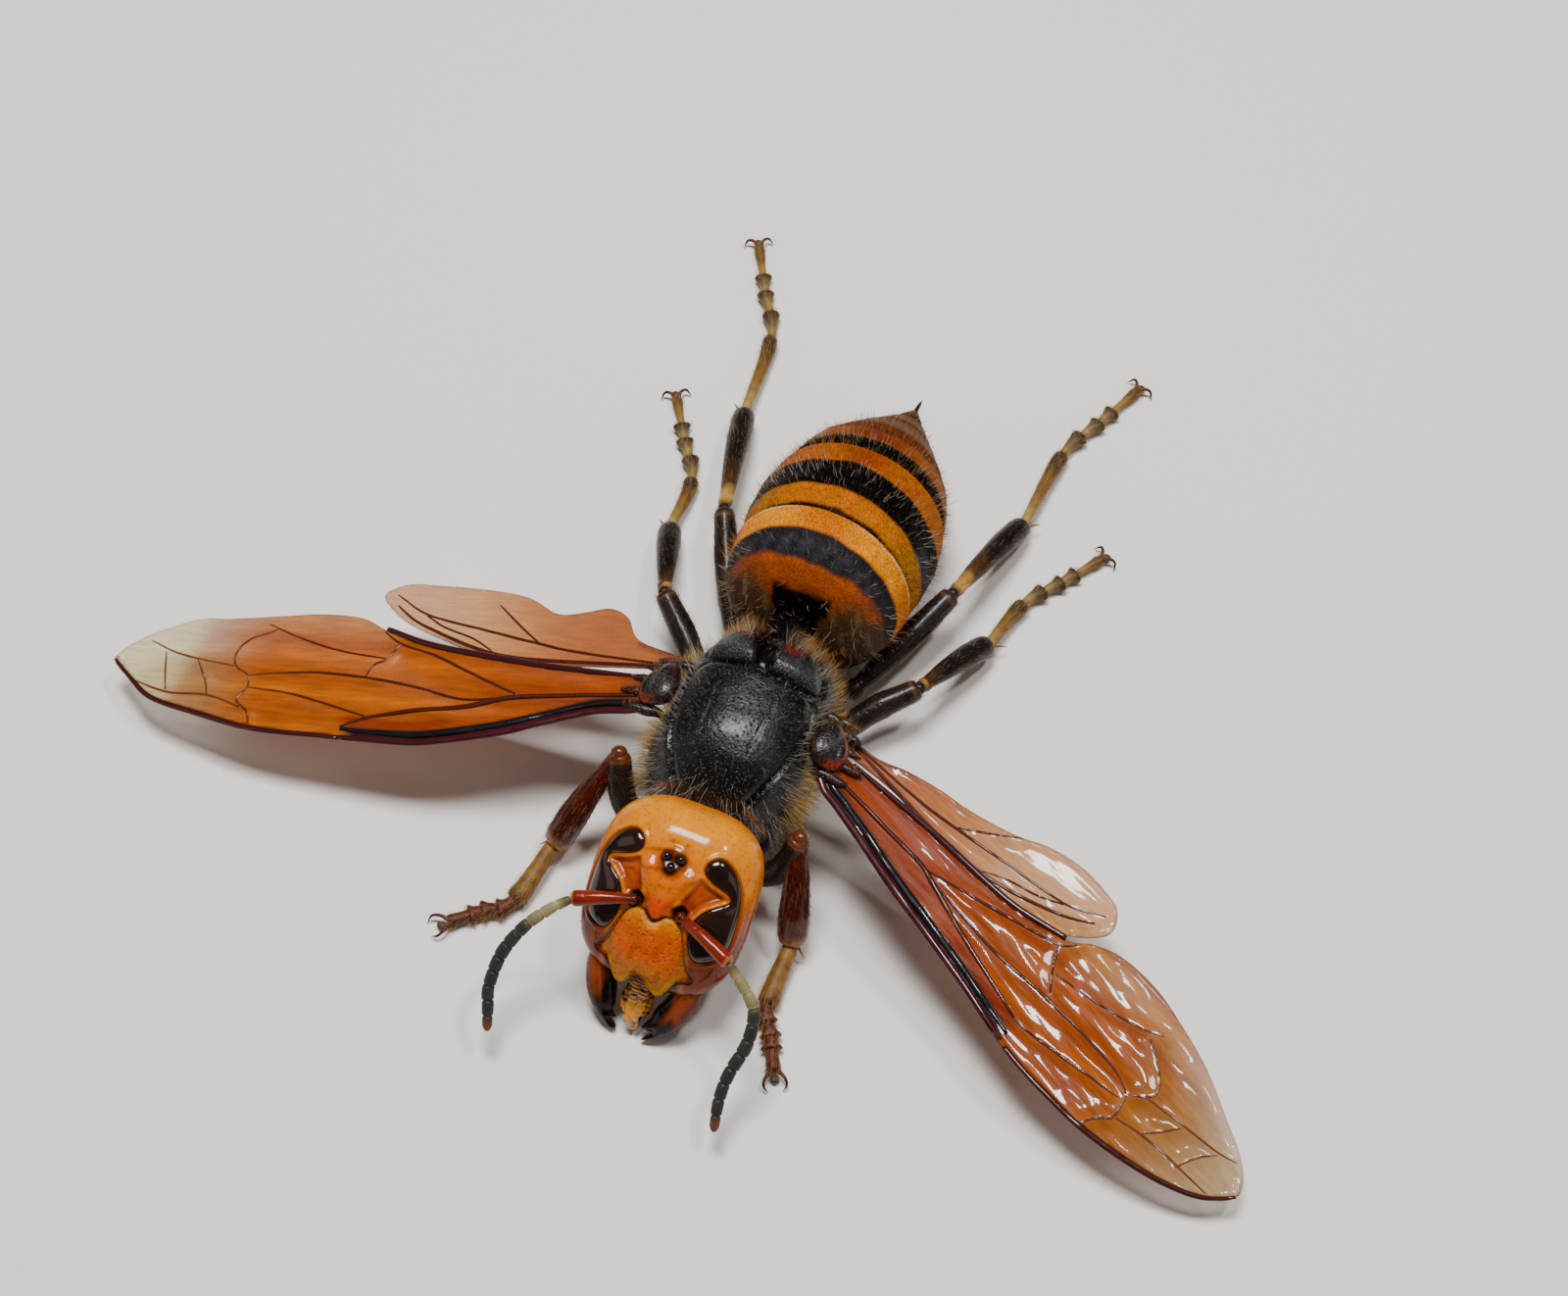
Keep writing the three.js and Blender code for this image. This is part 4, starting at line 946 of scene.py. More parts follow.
def make_wing_bases():
    """The tegula over each wing's root, and the small hinge plates beside it."""
    made = []
    r = np.linspace(0, 1, 22)[1:, None]
    a = turns(40)
    reach = r * (1 + 0.1 * np.cos(2 * a + 0.6) + 0.07 * np.cos(3 * a + 1.2))
    crown = np.sqrt(1 - np.clip(r, 0, 1) ** 2.2) * (1 - 0.18 * hump(reach * np.cos(a), 0.35, 0.22))
    wide, long, high = TEGULA_HALF
    cap = np.stack([wide * reach * np.cos(a), long * reach * np.sin(a), high * crown + 0 * a], -1)
    skirt = cap[-1:] * array([0.85, 0.85, 1]) - array([0, 0, 0.35])
    share = np.concatenate([np.broadcast_to(r, cap.shape[:2]), np.ones((1, a.size))])
    for name, side in SIDES.items():
        flip = array([side, 1, 1])
        grid = np.concatenate([cap, skirt]) * flip
        x, y, z = grid[..., 0], grid[..., 1], grid[..., 2]
        lean = TEGULA_LEAN * side
        leant = np.stack([x * math.cos(lean) + z * math.sin(lean), y, -x * math.sin(lean) + z * math.cos(lean)], -1)
        rim = ease(0.6, 0.8, share + 0.06 * ripple(x * 3, y * 3, 41))
        outer = ease(-0.35, 0.35, np.cos(a) + 0 * share)
        mesh = Mesh().tube(leant + array(TEGULA_PLACE) * flip, tinted("#111113", share.shape, [
            ("#2e2e32", ease(0.7, 0.2, share) * (0.5 + 0.5 * ripple(x * 3, y * 3, 42))),
            ("#6a1c08", rim * (0.1 + 0.9 * outer)),
        ]))
        for number, (root, tip, wide, thick, code) in enumerate(WING_ROOT_PLATES):
            root, tip = array(root) * flip, array(tip) * flip
            plate = rings([root, (root + tip) / 2 + array([0, 0, 0.12]), tip],
                          [(0, wide * 0.5), (0.3, wide), (0.75, wide * 0.8), (1, wide * 0.3)], 18, 14, thick / wide)
            plate = plate + 0.05 * ripple(plate[..., 0] * 4, plate[..., 1] * 4, 50 + number)[..., None]
            mesh.tube(plate, tinted(code, plate.shape[:2]))
        fur = 0.25 + 0.5 * ease(10.6, 9.8, np.vstack(mesh.places)[:, 2])
        made.append(piece(f"tegula_plate_{name}", mesh, BLACK, "brown_cuticle", [f"tegula_{name}"],
                          extra=coat_of(fur, (0, 0.8, 0.3), "#8a6232")))
    return made


# Gaster: plates of revolution about an axis that drops to the rear, each slipped under the one before

GASTER_START = array([0, 9.72, 9.0])
GASTER_PITCH = math.radians(14)
GASTER_AXIS = array([0, math.cos(GASTER_PITCH), -math.sin(GASTER_PITCH)])
GASTER_LIFT = array([0, math.sin(GASTER_PITCH), math.cos(GASTER_PITCH)])
GASTER_PROFILE = [
    (0, 0.9), (0.8, 1.1), (1.1, 2.4), (1.45, 4.0), (2.0, 5.1), (3.0, 5.95), (4.4, 6.4), (5.75, 6.52), (6.75, 6.55),
    (8.6, 6.85), (10.8, 6.9), (12.9, 6.5), (14.0, 6.25), (15.4, 5.95), (16.8, 5.4), (18.2, 4.65), (19.95, 3.5),
    (21.4, 2.6), (22.7, 1.7), (24.0, 0.95), (25.1, 0.3),
]
PLATES = [(0.0, 6.02), (6.02, 13.1), (13.1, 16.7), (16.7, 20.0), (20.0, 22.8), (22.8, 25.1)]


def gaster_radius(along):
    return np.interp(along, *zip(*GASTER_PROFILE))


def gaster_tint(along, turn):
    """Bands by the distance along the gaster and the angle from its top, in degrees."""
    side = np.abs(turn)
    s = along + 0.09 * ripple(turn * 0.09, along * 0.4, 61) + 0.05 * ripple(turn * 0.35, along, 62)
    front = s + 0.012 * np.maximum(side - 35, 0) - 0.02 * np.maximum(side - 20, 0)
    ridge = s + 0.012 * np.maximum(side - 35, 0)
    radius = gaster_radius(along)
    aside, above = radius * np.sin(np.radians(turn)), radius * np.cos(np.radians(turn))
    bar = ease(2.3, 1.95, np.abs(aside - 0.1)) * ease(3.4, 2.95, above + 0.12 * ripple(aside * 3, above, 64))
    stem = ease(2.0, 1.5, np.abs(aside)) * ease(2.4, 1.8, above)
    mark = np.maximum(bar * ease(1.1, 1.6, above), stem) * ease(2.0, 1.5, along)
    dusty = ease(34, 64, side) * ease(2.4, 1.5, along) + ease(64, 88, side) * ease(4.2, 2.5, along)
    dusty = np.clip(dusty, 0, 1) * (1 - mark)
    glow = ease(8, 30, side) * ease(75, 55, side)
    colour = tinted("#0b0807", s.shape, [
        # First plate: red-brown front with a dark mark, a grey band, and orange with a pale rear edge
        ("#9c460c", ease(0.85, 1.1, along) * (1 - mark)),
        ("#7c3009", ease(0.2, 1.0, ripple(aside * 1.6, above * 1.6, 65)) * ease(0.85, 1.1, along) * (1 - mark) * 0.5),
        ("#4a3826", dusty * 0.95),
        ("#8f7a55", dusty * ease(0.2, 0.9, ripple(aside * 4, above * 4, 63)) * 0.5),
        ("#1d1b1e", ease(2.0, 2.35, front)),
        ("#3f3b3f", hump(ridge, 3.0, 0.65) * (0.4 + 0.4 * ripple(turn * 0.5, s * 5, 66))),
        ("#c66a02", ease(3.95, 4.3, s)),
        ("#e38a04", ease(4.0, 4.4, s) * ease(6.1, 5.6, s) * glow),
        ("#e9c07a", hump(s, 5.95, 0.09) * ease(10, 30, side) * 0.8),
        # Second plate: its dark front edge with a painted shadow under the first plate's rim, orange with a small
        # notch, black, and orange again
        ("#160803", ease(6.0, 6.08, along)),
        ("#b05e03", ease(6.45, 6.72, s - 0.003 * side)),
        ("#8a5a14", ease(6.3, 6.7, s) * ease(28, 60, side) * 0.75),
        ("#c08a2a", ease(6.3, 6.7, s) * ease(0.3, 0.9, ripple(turn * 1.1, s * 9, 67)) * ease(20, 50, side) * 0.6),
        ("#241006", ease(1.0, 0.4, np.hypot((turn - 2) / 7, (s - 6.35) / 0.5))),
        ("#070607", ease(8.1, 8.4, s + 0.004 * np.maximum(side - 40, 0))),
        # painted sheen: grey-blue on the sides of the black band
        ("#3c4048", ease(55, 68, side) * ease(7.6, 8.2, s) * ease(9.6, 8.8, s) * 0.6),
        ("#a85402", ease(10.75, 11.05, s + 0.2 * hump(side, 60, 25) - 0.3 * hump(side, 0, 8))),
        ("#7a2205", ease(11.0, 11.4, s) * hump(turn - 3, 0, 14) * 0.75),
        # Third plate: black, then orange that is red on top
        ("#070506", ease(13.1, 13.3, s)),
        ("#8e4802", ease(14.55, 14.9, s)),
        ("#661c05", ease(14.6, 15.0, s) * hump(turn, 0, 26) * 0.9),
        ("#3a1206", hump(s, 16.55, 0.22)),
        # The last plates: brown, darker at their seams and towards the sting
        ("#582502", ease(16.7, 17.0, s)),
        ("#553002", ease(17.6, 19.2, s)),
        ("#3a1808", hump(along, 20.0, 0.12) + hump(along, 22.8, 0.12)),
        ("#432402", ease(21.5, 23.5, s) * 0.8),
    ])
    belly = tinted("#5a3413", s.shape, [("#1c110b", 0.5 + 0.5 * np.sin((along - 2.0) * 1.9))])
    return colour + (belly - colour) * ease(108, 122, side)[..., None]


def gaster_place(along, turn, radius):
    up = np.cos(turn) * radius
    up = np.where(up < 0, up * BELLY_FLAT, up)
    return above_floor(GASTER_START + along[..., None] * GASTER_AXIS
                       + (np.sin(turn) * radius)[..., None] * array([1, 0, 0]) + up[..., None] * GASTER_LIFT)


BELLY_FLAT = 0.95
PLATE_SLIP, PLATE_SWELL = 0.34, 0.06  # how deep a plate's front lies under the next, and how far its rear swells
CREASE_ANGLE, CREASE_DEPTH = 113, 0.16  # the crease between the upper and the lower plates
# Where each plate slips under the one before it and curls in at its end: distance, and how deep it lies there
TUCK = ((-0.5, 0.6), (-0.25, 0.45), (-0.02, 0.3))
LIP = ((0.02, 0.05), (-0.1, 0.17), (-0.4, 0.5))
STING_PATH = ((24.4, 0.0), (25.6, 0.03), (26.7, -0.02))


def make_gaster():
    turn = turns(220)
    degrees = np.degrees(np.where(turn > np.pi, turn - 2 * np.pi, turn))
    side = np.abs(degrees)
    mesh = Mesh()
    furs, naps = [], []
    for number, (first, last) in enumerate(PLATES):
        tuck = TUCK if number > 0 else ()
        lip = LIP if last < PLATES[-1][1] else ()
        shown = np.linspace(first, last, max(12, int((last - first) * (14))))
        slipped = PLATE_SLIP * ease(1.3, 0.0, shown - first) * (number > 0)
        along = np.concatenate([[first + d for d, _ in tuck], shown, [last + d for d, _ in lip]])[:, None] + 0 * turn
        drop = np.concatenate([[depth for _, depth in tuck], slipped, [depth for _, depth in lip]])[:, None]
        swell = PLATE_SWELL * ease(0.7, 0.1, last - along) * (len(lip) > 0)
        relief = -drop + swell - CREASE_DEPTH * hump(side, CREASE_ANGLE, 2.5) * ease(1.2, 2.4, along)
        relief = relief + 0.03 * ripple(along * 0.8, degrees * 0.06, 70)
        grid = gaster_place(along, turn + 0 * along, np.maximum(gaster_radius(along) + relief, 0.12))
        # painted shade: the two rows that curl in under each plate's rim are painted dark
        inner = np.zeros(along.shape)
        if lip:
            inner[-2:] = 1
        mesh.tube(grid, layers(gaster_tint(along, degrees + 0 * along), [("#1a0c06", inner)]))
        thick = 0.35 + 0.65 * ease(8, 13, along) - 0.8 * ease(16.5, 19.5, along)
        furs.append(with_ends(ease(0.6, 1.6, along) * (drop < 0.1) * thick))
        naps.append(with_ends(
            ease(1.0, 2.0, along) * (drop < 0.2) * ease(125, 100, side) * (1 - 0.8 * ease(14.5, 18, along))))
    waist = rings([(0, 8.2, 8.1), (0, 9.3, 8.8), GASTER_START + GASTER_AXIS * 0.95],
                  [(0, 1.5), (0.45, 0.85), (0.7, 0.95), (1, 1.5)], 24, 30)
    mesh.tube(waist, tinted("#0c0808", waist.shape[:2]))
    furs.append(with_ends(np.full(waist.shape[:2], 0.4)))
    naps.append(with_ends(np.full(waist.shape[:2], 0.5)))
    tints = np.vstack(mesh.tints)
    coat = coat_of(np.concatenate(furs), GASTER_AXIS, "#b87a2c")
    coat["coat"] = layers(coat["coat"] * 0.75 + 0.25 * tints, [("#d8c8ac", ease(0.12, 0.02, tints.max(1)) * 0.8)])
    coat["nap"] = np.concatenate(naps)
    gaster = piece("gaster_plates", mesh, SATIN, "gaster_cuticle", [f"gaster_{i}" for i in range(1, 7)], extra=coat)
    sting = rings([GASTER_START + GASTER_AXIS * along + array([0, 0, lift]) for along, lift in STING_PATH],
                  [(0, 0.3), (0.4, 0.2), (0.8, 0.12), (1, 0.03)], 30, 12)
    mesh = Mesh().tube(sting, tinted("#2a120a", sting.shape[:2]))
    piece("sting_needle", mesh, POLISHED, "brown_cuticle", ["sting"])
    return gaster


# Legs, each from the hip by way of its bends to the toe

PALE_SHARE = {"hind_right": 0.2, "hind_left": 0.24, "middle_left": 0.07, "middle_right": 0.06}
LEGS = {
    "front_right": [(-1.7, -3.7, 4.6), (-3.0, -5.7, 2.7), (-6.0, -4.7, 5.2), (-7.27, -2.6, 8.0),
                    (-10.18, -7.69, 1.6), (-11.16, -12.39, 0.8), (-14.68, -15.45, 0.5)],
    "front_left": [(1.7, -3.7, 4.6), (3.0, -5.7, 2.7), (5.6, -5.2, 5.2), (6.48, -3.92, 8.2),
                   (7.71, -8.4, 1.6), (7.8, -12.9, 0.8), (9.98, -17.0, 0.5)],
    "middle_right": [(-2.5, 2.8, 3.8), (-4.5, 5.8, 2.1), (-7.4, 9.2, 3.4), (-10.56, 12.19, 4.2),
                     (-13.14, 18.91, 1.4), (-13.52, 23.72, 0.8), (-17.52, 30.1, 0.5)],
    "middle_left": [(2.5, 2.8, 3.8), (4.0, 5.6, 2.1), (6.2, 9.0, 3.4), (8.95, 11.83, 4.2),
                    (11.7, 18.56, 1.4), (12.83, 23.05, 0.8), (16.7, 28.9, 0.5)],
    "hind_right": [(-2.1, 6.0, 4.2), (-4.2, 10.2, 2.4), (-6.9, 15.2, 3.4), (-9.31, 20.09, 4.5),
                   (-12.08, 30.38, 1.4), (-13.06, 37.84, 0.8), (-17.3, 45.6, 0.5)],
    "hind_left": [(2.1, 6.0, 4.2), (4.2, 10.2, 2.4), (6.4, 15.0, 3.4), (8.42, 19.69, 4.5),
                  (10.53, 28.99, 1.4), (11.04, 36.33, 0.8), (14.2, 43.95, 0.5)],
}
COXA = [(0, 1.25), (0.45, 1.3), (0.85, 0.95), (1, 0.7)]
FEMUR = [(0, 0.5), (0.05, 0.72), (0.1, 0.75), (0.13, 0.6), (0.2, 0.72), (0.4, 0.88), (0.65, 0.94), (0.88, 0.8),
         (0.93, 0.78), (0.96, 0.76), (0.98, 0.7), (0.992, 0.6), (1, 0.46)]
TIBIA = [(0, 0.42), (0.03, 0.47), (0.07, 0.55), (0.12, 0.5), (0.35, 0.7), (0.7, 0.9), (0.9, 0.88),
         (0.97, 0.78), (0.99, 0.6), (1, 0.3)]
SPURS = ((0.55, 1.7), (0.25, 1.5))
FOOT_JOINTS = [
    # where along a joint its radii are, and those of the stout front feet and of the others
    ((0, 0.04, 0.2, 0.7, 0.92, 0.97, 1), (0.4, 0.54, 0.56, 0.66, 0.74, 0.64, 0.4),
     (0.25, 0.36, 0.38, 0.5, 0.58, 0.5, 0.25)),
    ((0, 0.1, 0.5, 0.84, 0.93, 1), (0.36, 0.44, 0.52, 0.64, 0.58, 0.36), (0.2, 0.3, 0.42, 0.56, 0.5, 0.22)),
    ((0, 0.1, 0.5, 0.85, 0.95, 1), (0.34, 0.42, 0.46, 0.52, 0.46, 0.24), (0.2, 0.26, 0.31, 0.42, 0.38, 0.16)),
]
# A claw's curve, as the way ahead of the toe and the way out from it, on the front feet and on the others
FRONT_CLAW = ((-0.15, 0.1), (0.3, 0.55), (0.8, 0.78), (1.15, 0.5))
REAR_CLAW = ((-0.15, 0.08), (0.3, 0.36), (0.5, 0.82), (0.2, 1.15))
CLAW_HEIGHTS = (0.5, 0.75, 0.6, 0.2)


class LegMesh(Mesh):
    """Tubes and balls that stay above the floor, and how thickly bristles grow on each."""

    def __init__(self):
        super().__init__()
        self.furs = []

    def skin(self, grid, tints, fur):
        self.furs.append(with_ends(np.broadcast_to(fur, grid.shape[:2])))
        self.tube(grid, tints)

    def limb(self, path, stations, rows, sides, tint, fur=0.0, flat=1.0, shape=None):
        grid = above_floor(rings(path, stations, rows, sides, flat, shape=shape))
        self.skin(grid, tint(shares_along(rows, sides), grid), fur)

    def knob(self, centre, radii, rows, columns, code):
        grid = above_floor(ball(centre, radii, rows, columns))
        self.skin(grid, tinted(code, grid.shape[:2]), 0.0)

    def finish(self, name, material, slot, nodes, way, code):
        return piece(name, self, material, slot, nodes, extra=coat_of(np.concatenate(self.furs), way, code))


def make_thigh(name, front, hip, trochanter, bow, knee):
    def thigh_tint(share, grid):
        return tinted("#1a1210" if front else "#110e0d", share.shape, [
            ("#2f2320", 0.3 + 0.3 * ripple(grid[..., 0] * 2, grid[..., 1] * 2, 81)),
            ("#5c2c14" if front else "#33201a", ease(0.88, 0.98, share) * (1.0 if front else 0.8)),
            ("#8a6234", hump(share, 0.945, 0.014) * 0.35),
        ])

    thigh = LegMesh()
    thigh.limb([hip, (hip + trochanter) / 2, trochanter], COXA, 24, 20, lambda s, g: tinted("#161110", s.shape), 0.8)
    thigh.limb([trochanter, bow, knee], FEMUR, 90, 20, thigh_tint, 0.5)
    return thigh.finish(f"thigh_{name}", LEG, "leg_cuticle", [f"coxa_{name}", f"femur_{name}"],
                        knee - trochanter, "#6b5334")


def make_shin(name, front, knee, ankle, inward):
    rows = 80
    stoutness = 1.2 if front else 1.0
    pale = PALE_SHARE.get(name)

    def shin_tint(share, grid):
        x, y, z = grid[..., 0] * 2, grid[..., 1] * 2, grid[..., 2]
        if front:
            return tinted("#3c0d05", share.shape, [
                ("#74401e", ease(0.14, 0.02, share)),
                ("#94602c", ease(0.85, 0.98, share)),
                ("#5c1f0c", hump(ripple(x, y, 83), 1, 0.5) * 0.4),
            ])
        wander = 0.05 * ripple(x, y + z, 82)
        return tinted("#17100d", share.shape, [
            ("#4c3116", ease(pale + 0.3, pale, share + wander) * 0.8),
            ("#b98a44", ease(pale, pale * 0.4, share + wander) * 0.85),
            ("#3a2012", ease(0.07, 0.0, share)),
            ("#7a5226", ease(0.94, 1.0, share)),
        ])

    shin = LegMesh()
    path = [knee, knee + (ankle - knee) * 0.5 + array([0, 0, 0.25]), ankle]
    stations = [(share, radius * (1 + (stoutness - 1) * min(1, share * 3))) for share, radius in TIBIA]
    fur = (0.3 + ease(0.0, 0.5, np.linspace(0, 1, rows)))[:, None] * (0.3 if front else 0.25)
    shin.limb(path, stations, rows, 20, shin_tint, fur, 0.9)
    shin.knob(knee, [0.58 if front else 0.48] * 3, 14, 20, "#5c2c14" if front else "#241812")
    (root, _), (ahead, _), _ = spline(path, 2, shares=[0.93, 1.0])
    across = unit(np.cross(array([0, 0, 1]), ahead)) * inward
    for lean, length in SPURS:
        tip = root + ahead * length + across * length * lean
        shin.limb([root, (root + tip) / 2 + array([0, 0, 0.08]), tip], [(0, 0.16), (0.5, 0.11), (1, 0.02)], 12, 8,
                  lambda s, g: tinted("#8a5a2a", s.shape))
    return shin.finish(f"shin_{name}", POLISHED if front else LEG, "brown_cuticle", [f"tibia_{name}"],
                       ankle - knee, "#9a6a34" if front else "#8a7450")


def make_foot(name, front, ankle, basitarsus, toe):
    def foot_tint(number, share, grid):
        grain = 0.5 + 0.5 * ripple(grid[..., 0] * 6, grid[..., 1] * 6, 84)
        if front:
            return tinted("#8a6122" if number == 0 else "#541607", share.shape, [
                ("#4c2c10", grain * 0.5),
                ("#2c0e06", ease(0.75, 1.0, share) * 0.8),
            ])
        return tinted("#7c5614" if number in (0, 4) else "#64502e", share.shape, [
            ("#c6a45a", ease(0.45, 0.05, share) * 0.7 * (number == 0)),
            ("#b08c4a", hump(share, 0.22, 0.2) * (number > 0) * 0.6),
            ("#4a3216", grain * 0.4),
            ("#24150a", ease(0.5, 0.85, share) * (0.9 if number < 4 else 0.4)),
        ])

    foot = LegMesh()
    path = [ankle, basitarsus, (basitarsus + toe) / 2, toe]
    first = np.linalg.norm(basitarsus - ankle) / spline(path, 2)[2]
    ends = [0.0, first] + [first + (1 - first) * share for share in (0.28, 0.5, 0.68, 1.0)]
    for number in range(5):
        start = ends[number] - (0.012 if number else 0)
        places = spline(path, 7, shares=np.linspace(start, ends[number + 1], 7))[0]
        at, stout, slim = FOOT_JOINTS[(number > 0) + (number == 4)]
        rows = 34 if number == 0 else 22

        def lobes(share, angle, number=number):
            return 1 + 0.24 * np.cos(2 * angle) * ease(0.5, 0.9, share) * (0 < number < 4)

        foot.limb(list(places), list(zip(at, stout if front else slim)), rows, 16,
                  lambda share, grid, number=number: foot_tint(number, share, grid),
                  0.5 + 0.9 * ease(0.4, 0.9, np.linspace(0, 1, rows))[:, None], shape=lobes)
    ahead = unit(toe - (basitarsus + toe) / 2)
    across = unit(np.cross(array([0, 0, 1]), ahead))
    for side in (-1, 1):
        curve = FRONT_CLAW if front else REAR_CLAW
        claw = [toe + ahead * forth * 1.15 + across * side * out for forth, out in curve]
        for p, height in zip(claw, CLAW_HEIGHTS):
            p[2] = height
        foot.limb(claw, [(0, 0.17), (0.3, 0.14), (0.7, 0.09), (1, 0.02)], 24, 8,
                  lambda s, g: tinted("#5a2a10", s.shape, [("#140a06", ease(0.3, 0.8, s))]))
    foot.knob(toe + ahead * 0.45 + array([0, 0, -0.12]), (0.34, 0.3, 0.2), 10, 14, "#4a3a2c")
    return foot.finish(f"foot_{name}", FOOT, "tarsus_cuticle", [f"tarsus_{name}"], toe - ankle, "#b98f4a")


def make_leg(name):
    hip, trochanter, bow, knee, ankle, basitarsus, toe = (array(p) for p in LEGS[name])
    front = name.startswith("front")
    inward = np.sign(hip[0]) * (1 if front else -1)
    return [make_thigh(name, front, hip, trochanter, bow, knee), make_shin(name, front, knee, ankle, inward),
            make_foot(name, front, ankle, basitarsus, toe)]


# Wings: s runs from root to tip, c from the leading edge to the trailing edge

WING_ENDS = {
    "right": ((-7.46, 1.81, 9.8), (-44.28, -7.17, 3.0)),
    "left": ((7.05, 1.2, 9.8), (41.44, -14.24, 1.96)),
}
HINDWING_DROP = 0.8
FOREWING_EDGES = {
    "left": (
        [(-1.5, -0.9), (0.5, -2.0), (2, -2.2), (5, -2.6), (8, -3.1), (12, -3.6), (16, -4.1), (19, -4.6), (22, -5.0),
         (25, -5.0), (28, -4.8), (31, -4.2), (34, -3.3), (36.5, -2.0), (38, -0.3)],
        [(37.6, 1.0), (36.2, 2.1), (34, 3.1), (31, 4.4), (28, 5.2), (25, 5.7), (22, 5.5), (20, 4.6), (18.5, 3.4),
         (14, 2.2), (8, 1.7), (3, 1.1), (-1.5, 0.6)],
    ),
    "right": (
        [(-1.5, -0.8), (0, -2.0), (3, -2.3), (6, -3.2), (9, -4.2), (12, -4.9), (15, -5.4), (18, -5.4), (22, -5.2),
         (27, -4.9), (31, -4.0), (35, -2.9), (37, -1.4), (38.6, 0.1)],
        [(37.9, 1.3), (36, 2.6), (33, 3.8), (31, 3.9), (27, 4.3), (24, 4.6), (21, 4.4), (19, 3.5), (15.5, 2.4),
         (10.5, 1.6), (5.5, 1.0), (-1.5, 0.6)],
    ),
}
FOREWING_VEINS = {
    "left": [
        (0.2, [(0.2, -0.7), (1.5, -0.6), (5, -0.5), (8.5, -0.4), (9.5, -0.6), (12, -1.2), (14, -1.7), (17, -2.3),
               (20, -2.9)]),
        (0.12, [(9.5, -0.6), (12, -0.7), (15, -0.8), (17, -0.75), (20, -0.4), (24, -0.2), (27, -0.3), (28.5, -0.8)]),
        (0.12, [(9, -0.4), (13, 0.9), (16, 1.9), (18.5, 2.8), (19.3, 3.7)]),
        (0.09, [(18.5, 2.8), (19.5, 1.2), (20.6, -0.1)]),
        (0.09, [(19.5, 1.2), (23, 2.0), (26, 3.0), (27.5, 3.8)]),
        (0.09, [(27, 3.0), (29, 1.8), (29.8, 0.8), (29.5, 0), (28.5, -0.8)]),
        (0.1, [(20, -2.9), (21, -2.9), (24, -2.3), (28.3, -1.4)]),
        (0.1, [(27.9, -4.3), (28.4, -3.3), (29, -2.6), (28.8, -1.6), (28.6, -0.9)]),
        (0.1, [(29, -2.5), (32, -1.8), (36.5, -1.5)]),
        (0.08, [(31, -1.9), (31.8, -0.8), (32.5, 0.4)]),
        (0.08, [(34, -1.8), (34.5, -0.3), (35.3, 0.9)]),
        (0.08, [(29.5, 0), (32, 0.5), (35, 1), (36.5, 1.5)]),
    ],
    "right": [
        (0.2, [(0.2, -0.7), (2, -0.8), (5, -1.0), (9, -1.4), (12, -2.2), (16, -2.8), (19, -3.5), (20.7, -4.3)]),
        (0.12, [(9, -1.4), (12.5, -1.7), (16, -0.9), (19.5, -0.35), (23, -0.1), (26, -0.3), (28.2, -0.6)]),
        (0.12, [(8.5, -1.2), (12, 0.3), (15, 1.6), (17.8, 2.5), (19.2, 3.4)]),
        (0.09, [(17.8, 2.5), (18.5, 1.2), (19.3, 0.7), (19.8, -0.3)]),
        (0.09, [(18.5, 1.2), (22, 1.7), (25, 2.5), (27.8, 3.6)]),
        (0.09, [(28.3, -0.6), (29.5, 0.2), (29.6, 1.4), (28.8, 2.3), (27, 3.2)]),
        (0.1, [(19, -3.4), (22, -2.6), (25, -1.9), (28.2, -1.5)]),
        (0.1, [(27.4, -4.4), (27.8, -3.4), (28.7, -2.6), (28.2, -1.5), (28.3, -0.6)]),
        (0.1, [(28.2, -3.2), (31, -2.3), (34, -2.2), (36.8, -1.4)]),
        (0.08, [(31, -2.3), (31.5, -1), (32.4, 0.5)]),
        (0.08, [(34.2, -2.0), (34.7, 0), (34.9, 1)]),
        (0.08, [(29.5, 0.1), (33, 0.7), (34.5, 1.1), (36.3, 1.9)]),
    ],
}
HINDWING_EDGES = {
    "right": [
        (-2.8, 1.5), (0, 1.8), (6.6, 1.7), (10.2, 1.8), (12.8, 2.5), (15.2, 3.4), (17.6, 4.4), (19.3, 5.6),
        (20.2, 6.9), (18.6, 7.8), (16.1, 7.8), (12.5, 7.6), (9.6, 7.1), (7.3, 5.9), (5.4, 6.1), (3.6, 6.5),
        (2.2, 5.8), (1.0, 4.0), (-2.8, 2.6),
    ],
    "left": [
        (-2.8, 1.0), (0.2, 1.4), (3.6, 1.9), (7.2, 2.0), (11.7, 2.4), (13.9, 2.7), (17.1, 3.3), (18.9, 4.4),
        (20.2, 6.2), (19.5, 7.7), (18.2, 8.1), (15.8, 8.1), (13.3, 7.4), (10.9, 6.1), (7.8, 5.0), (5.6, 4.5),
        (3.2, 3.7), (1.0, 2.7), (-2.8, 2.0),
    ],
}
HINDWING_VEINS = [
    (0.16, [(-2.4, 1.9), (0, 2.1), (6.6, 2.1), (10.2, 2.3), (12.8, 2.9), (15.2, 3.8), (17.4, 4.8), (19, 6.0)]),
    (0.12, [(-2.4, 2.1), (4.7, 2.8), (8.1, 3.4), (12.1, 4.3), (16.7, 5.4), (19.2, 6.9)]),
    (0.09, [(16.7, 5.3), (15.2, 4.4), (13, 3.6), (11.3, 2.6)]),
    (0.09, [(8.1, 3.4), (9.8, 4.8), (11.6, 6.4)]),
]
# The membrane's half thickness, and how far a vein stands over it
MEMBRANE_HALF, VEIN_LIFT = 0.035, 0.03
SAG, WAVE, CRINKLE = 0.14, 0.055, 0.04  # how deep the sheet hangs between veins, waves and crinkles


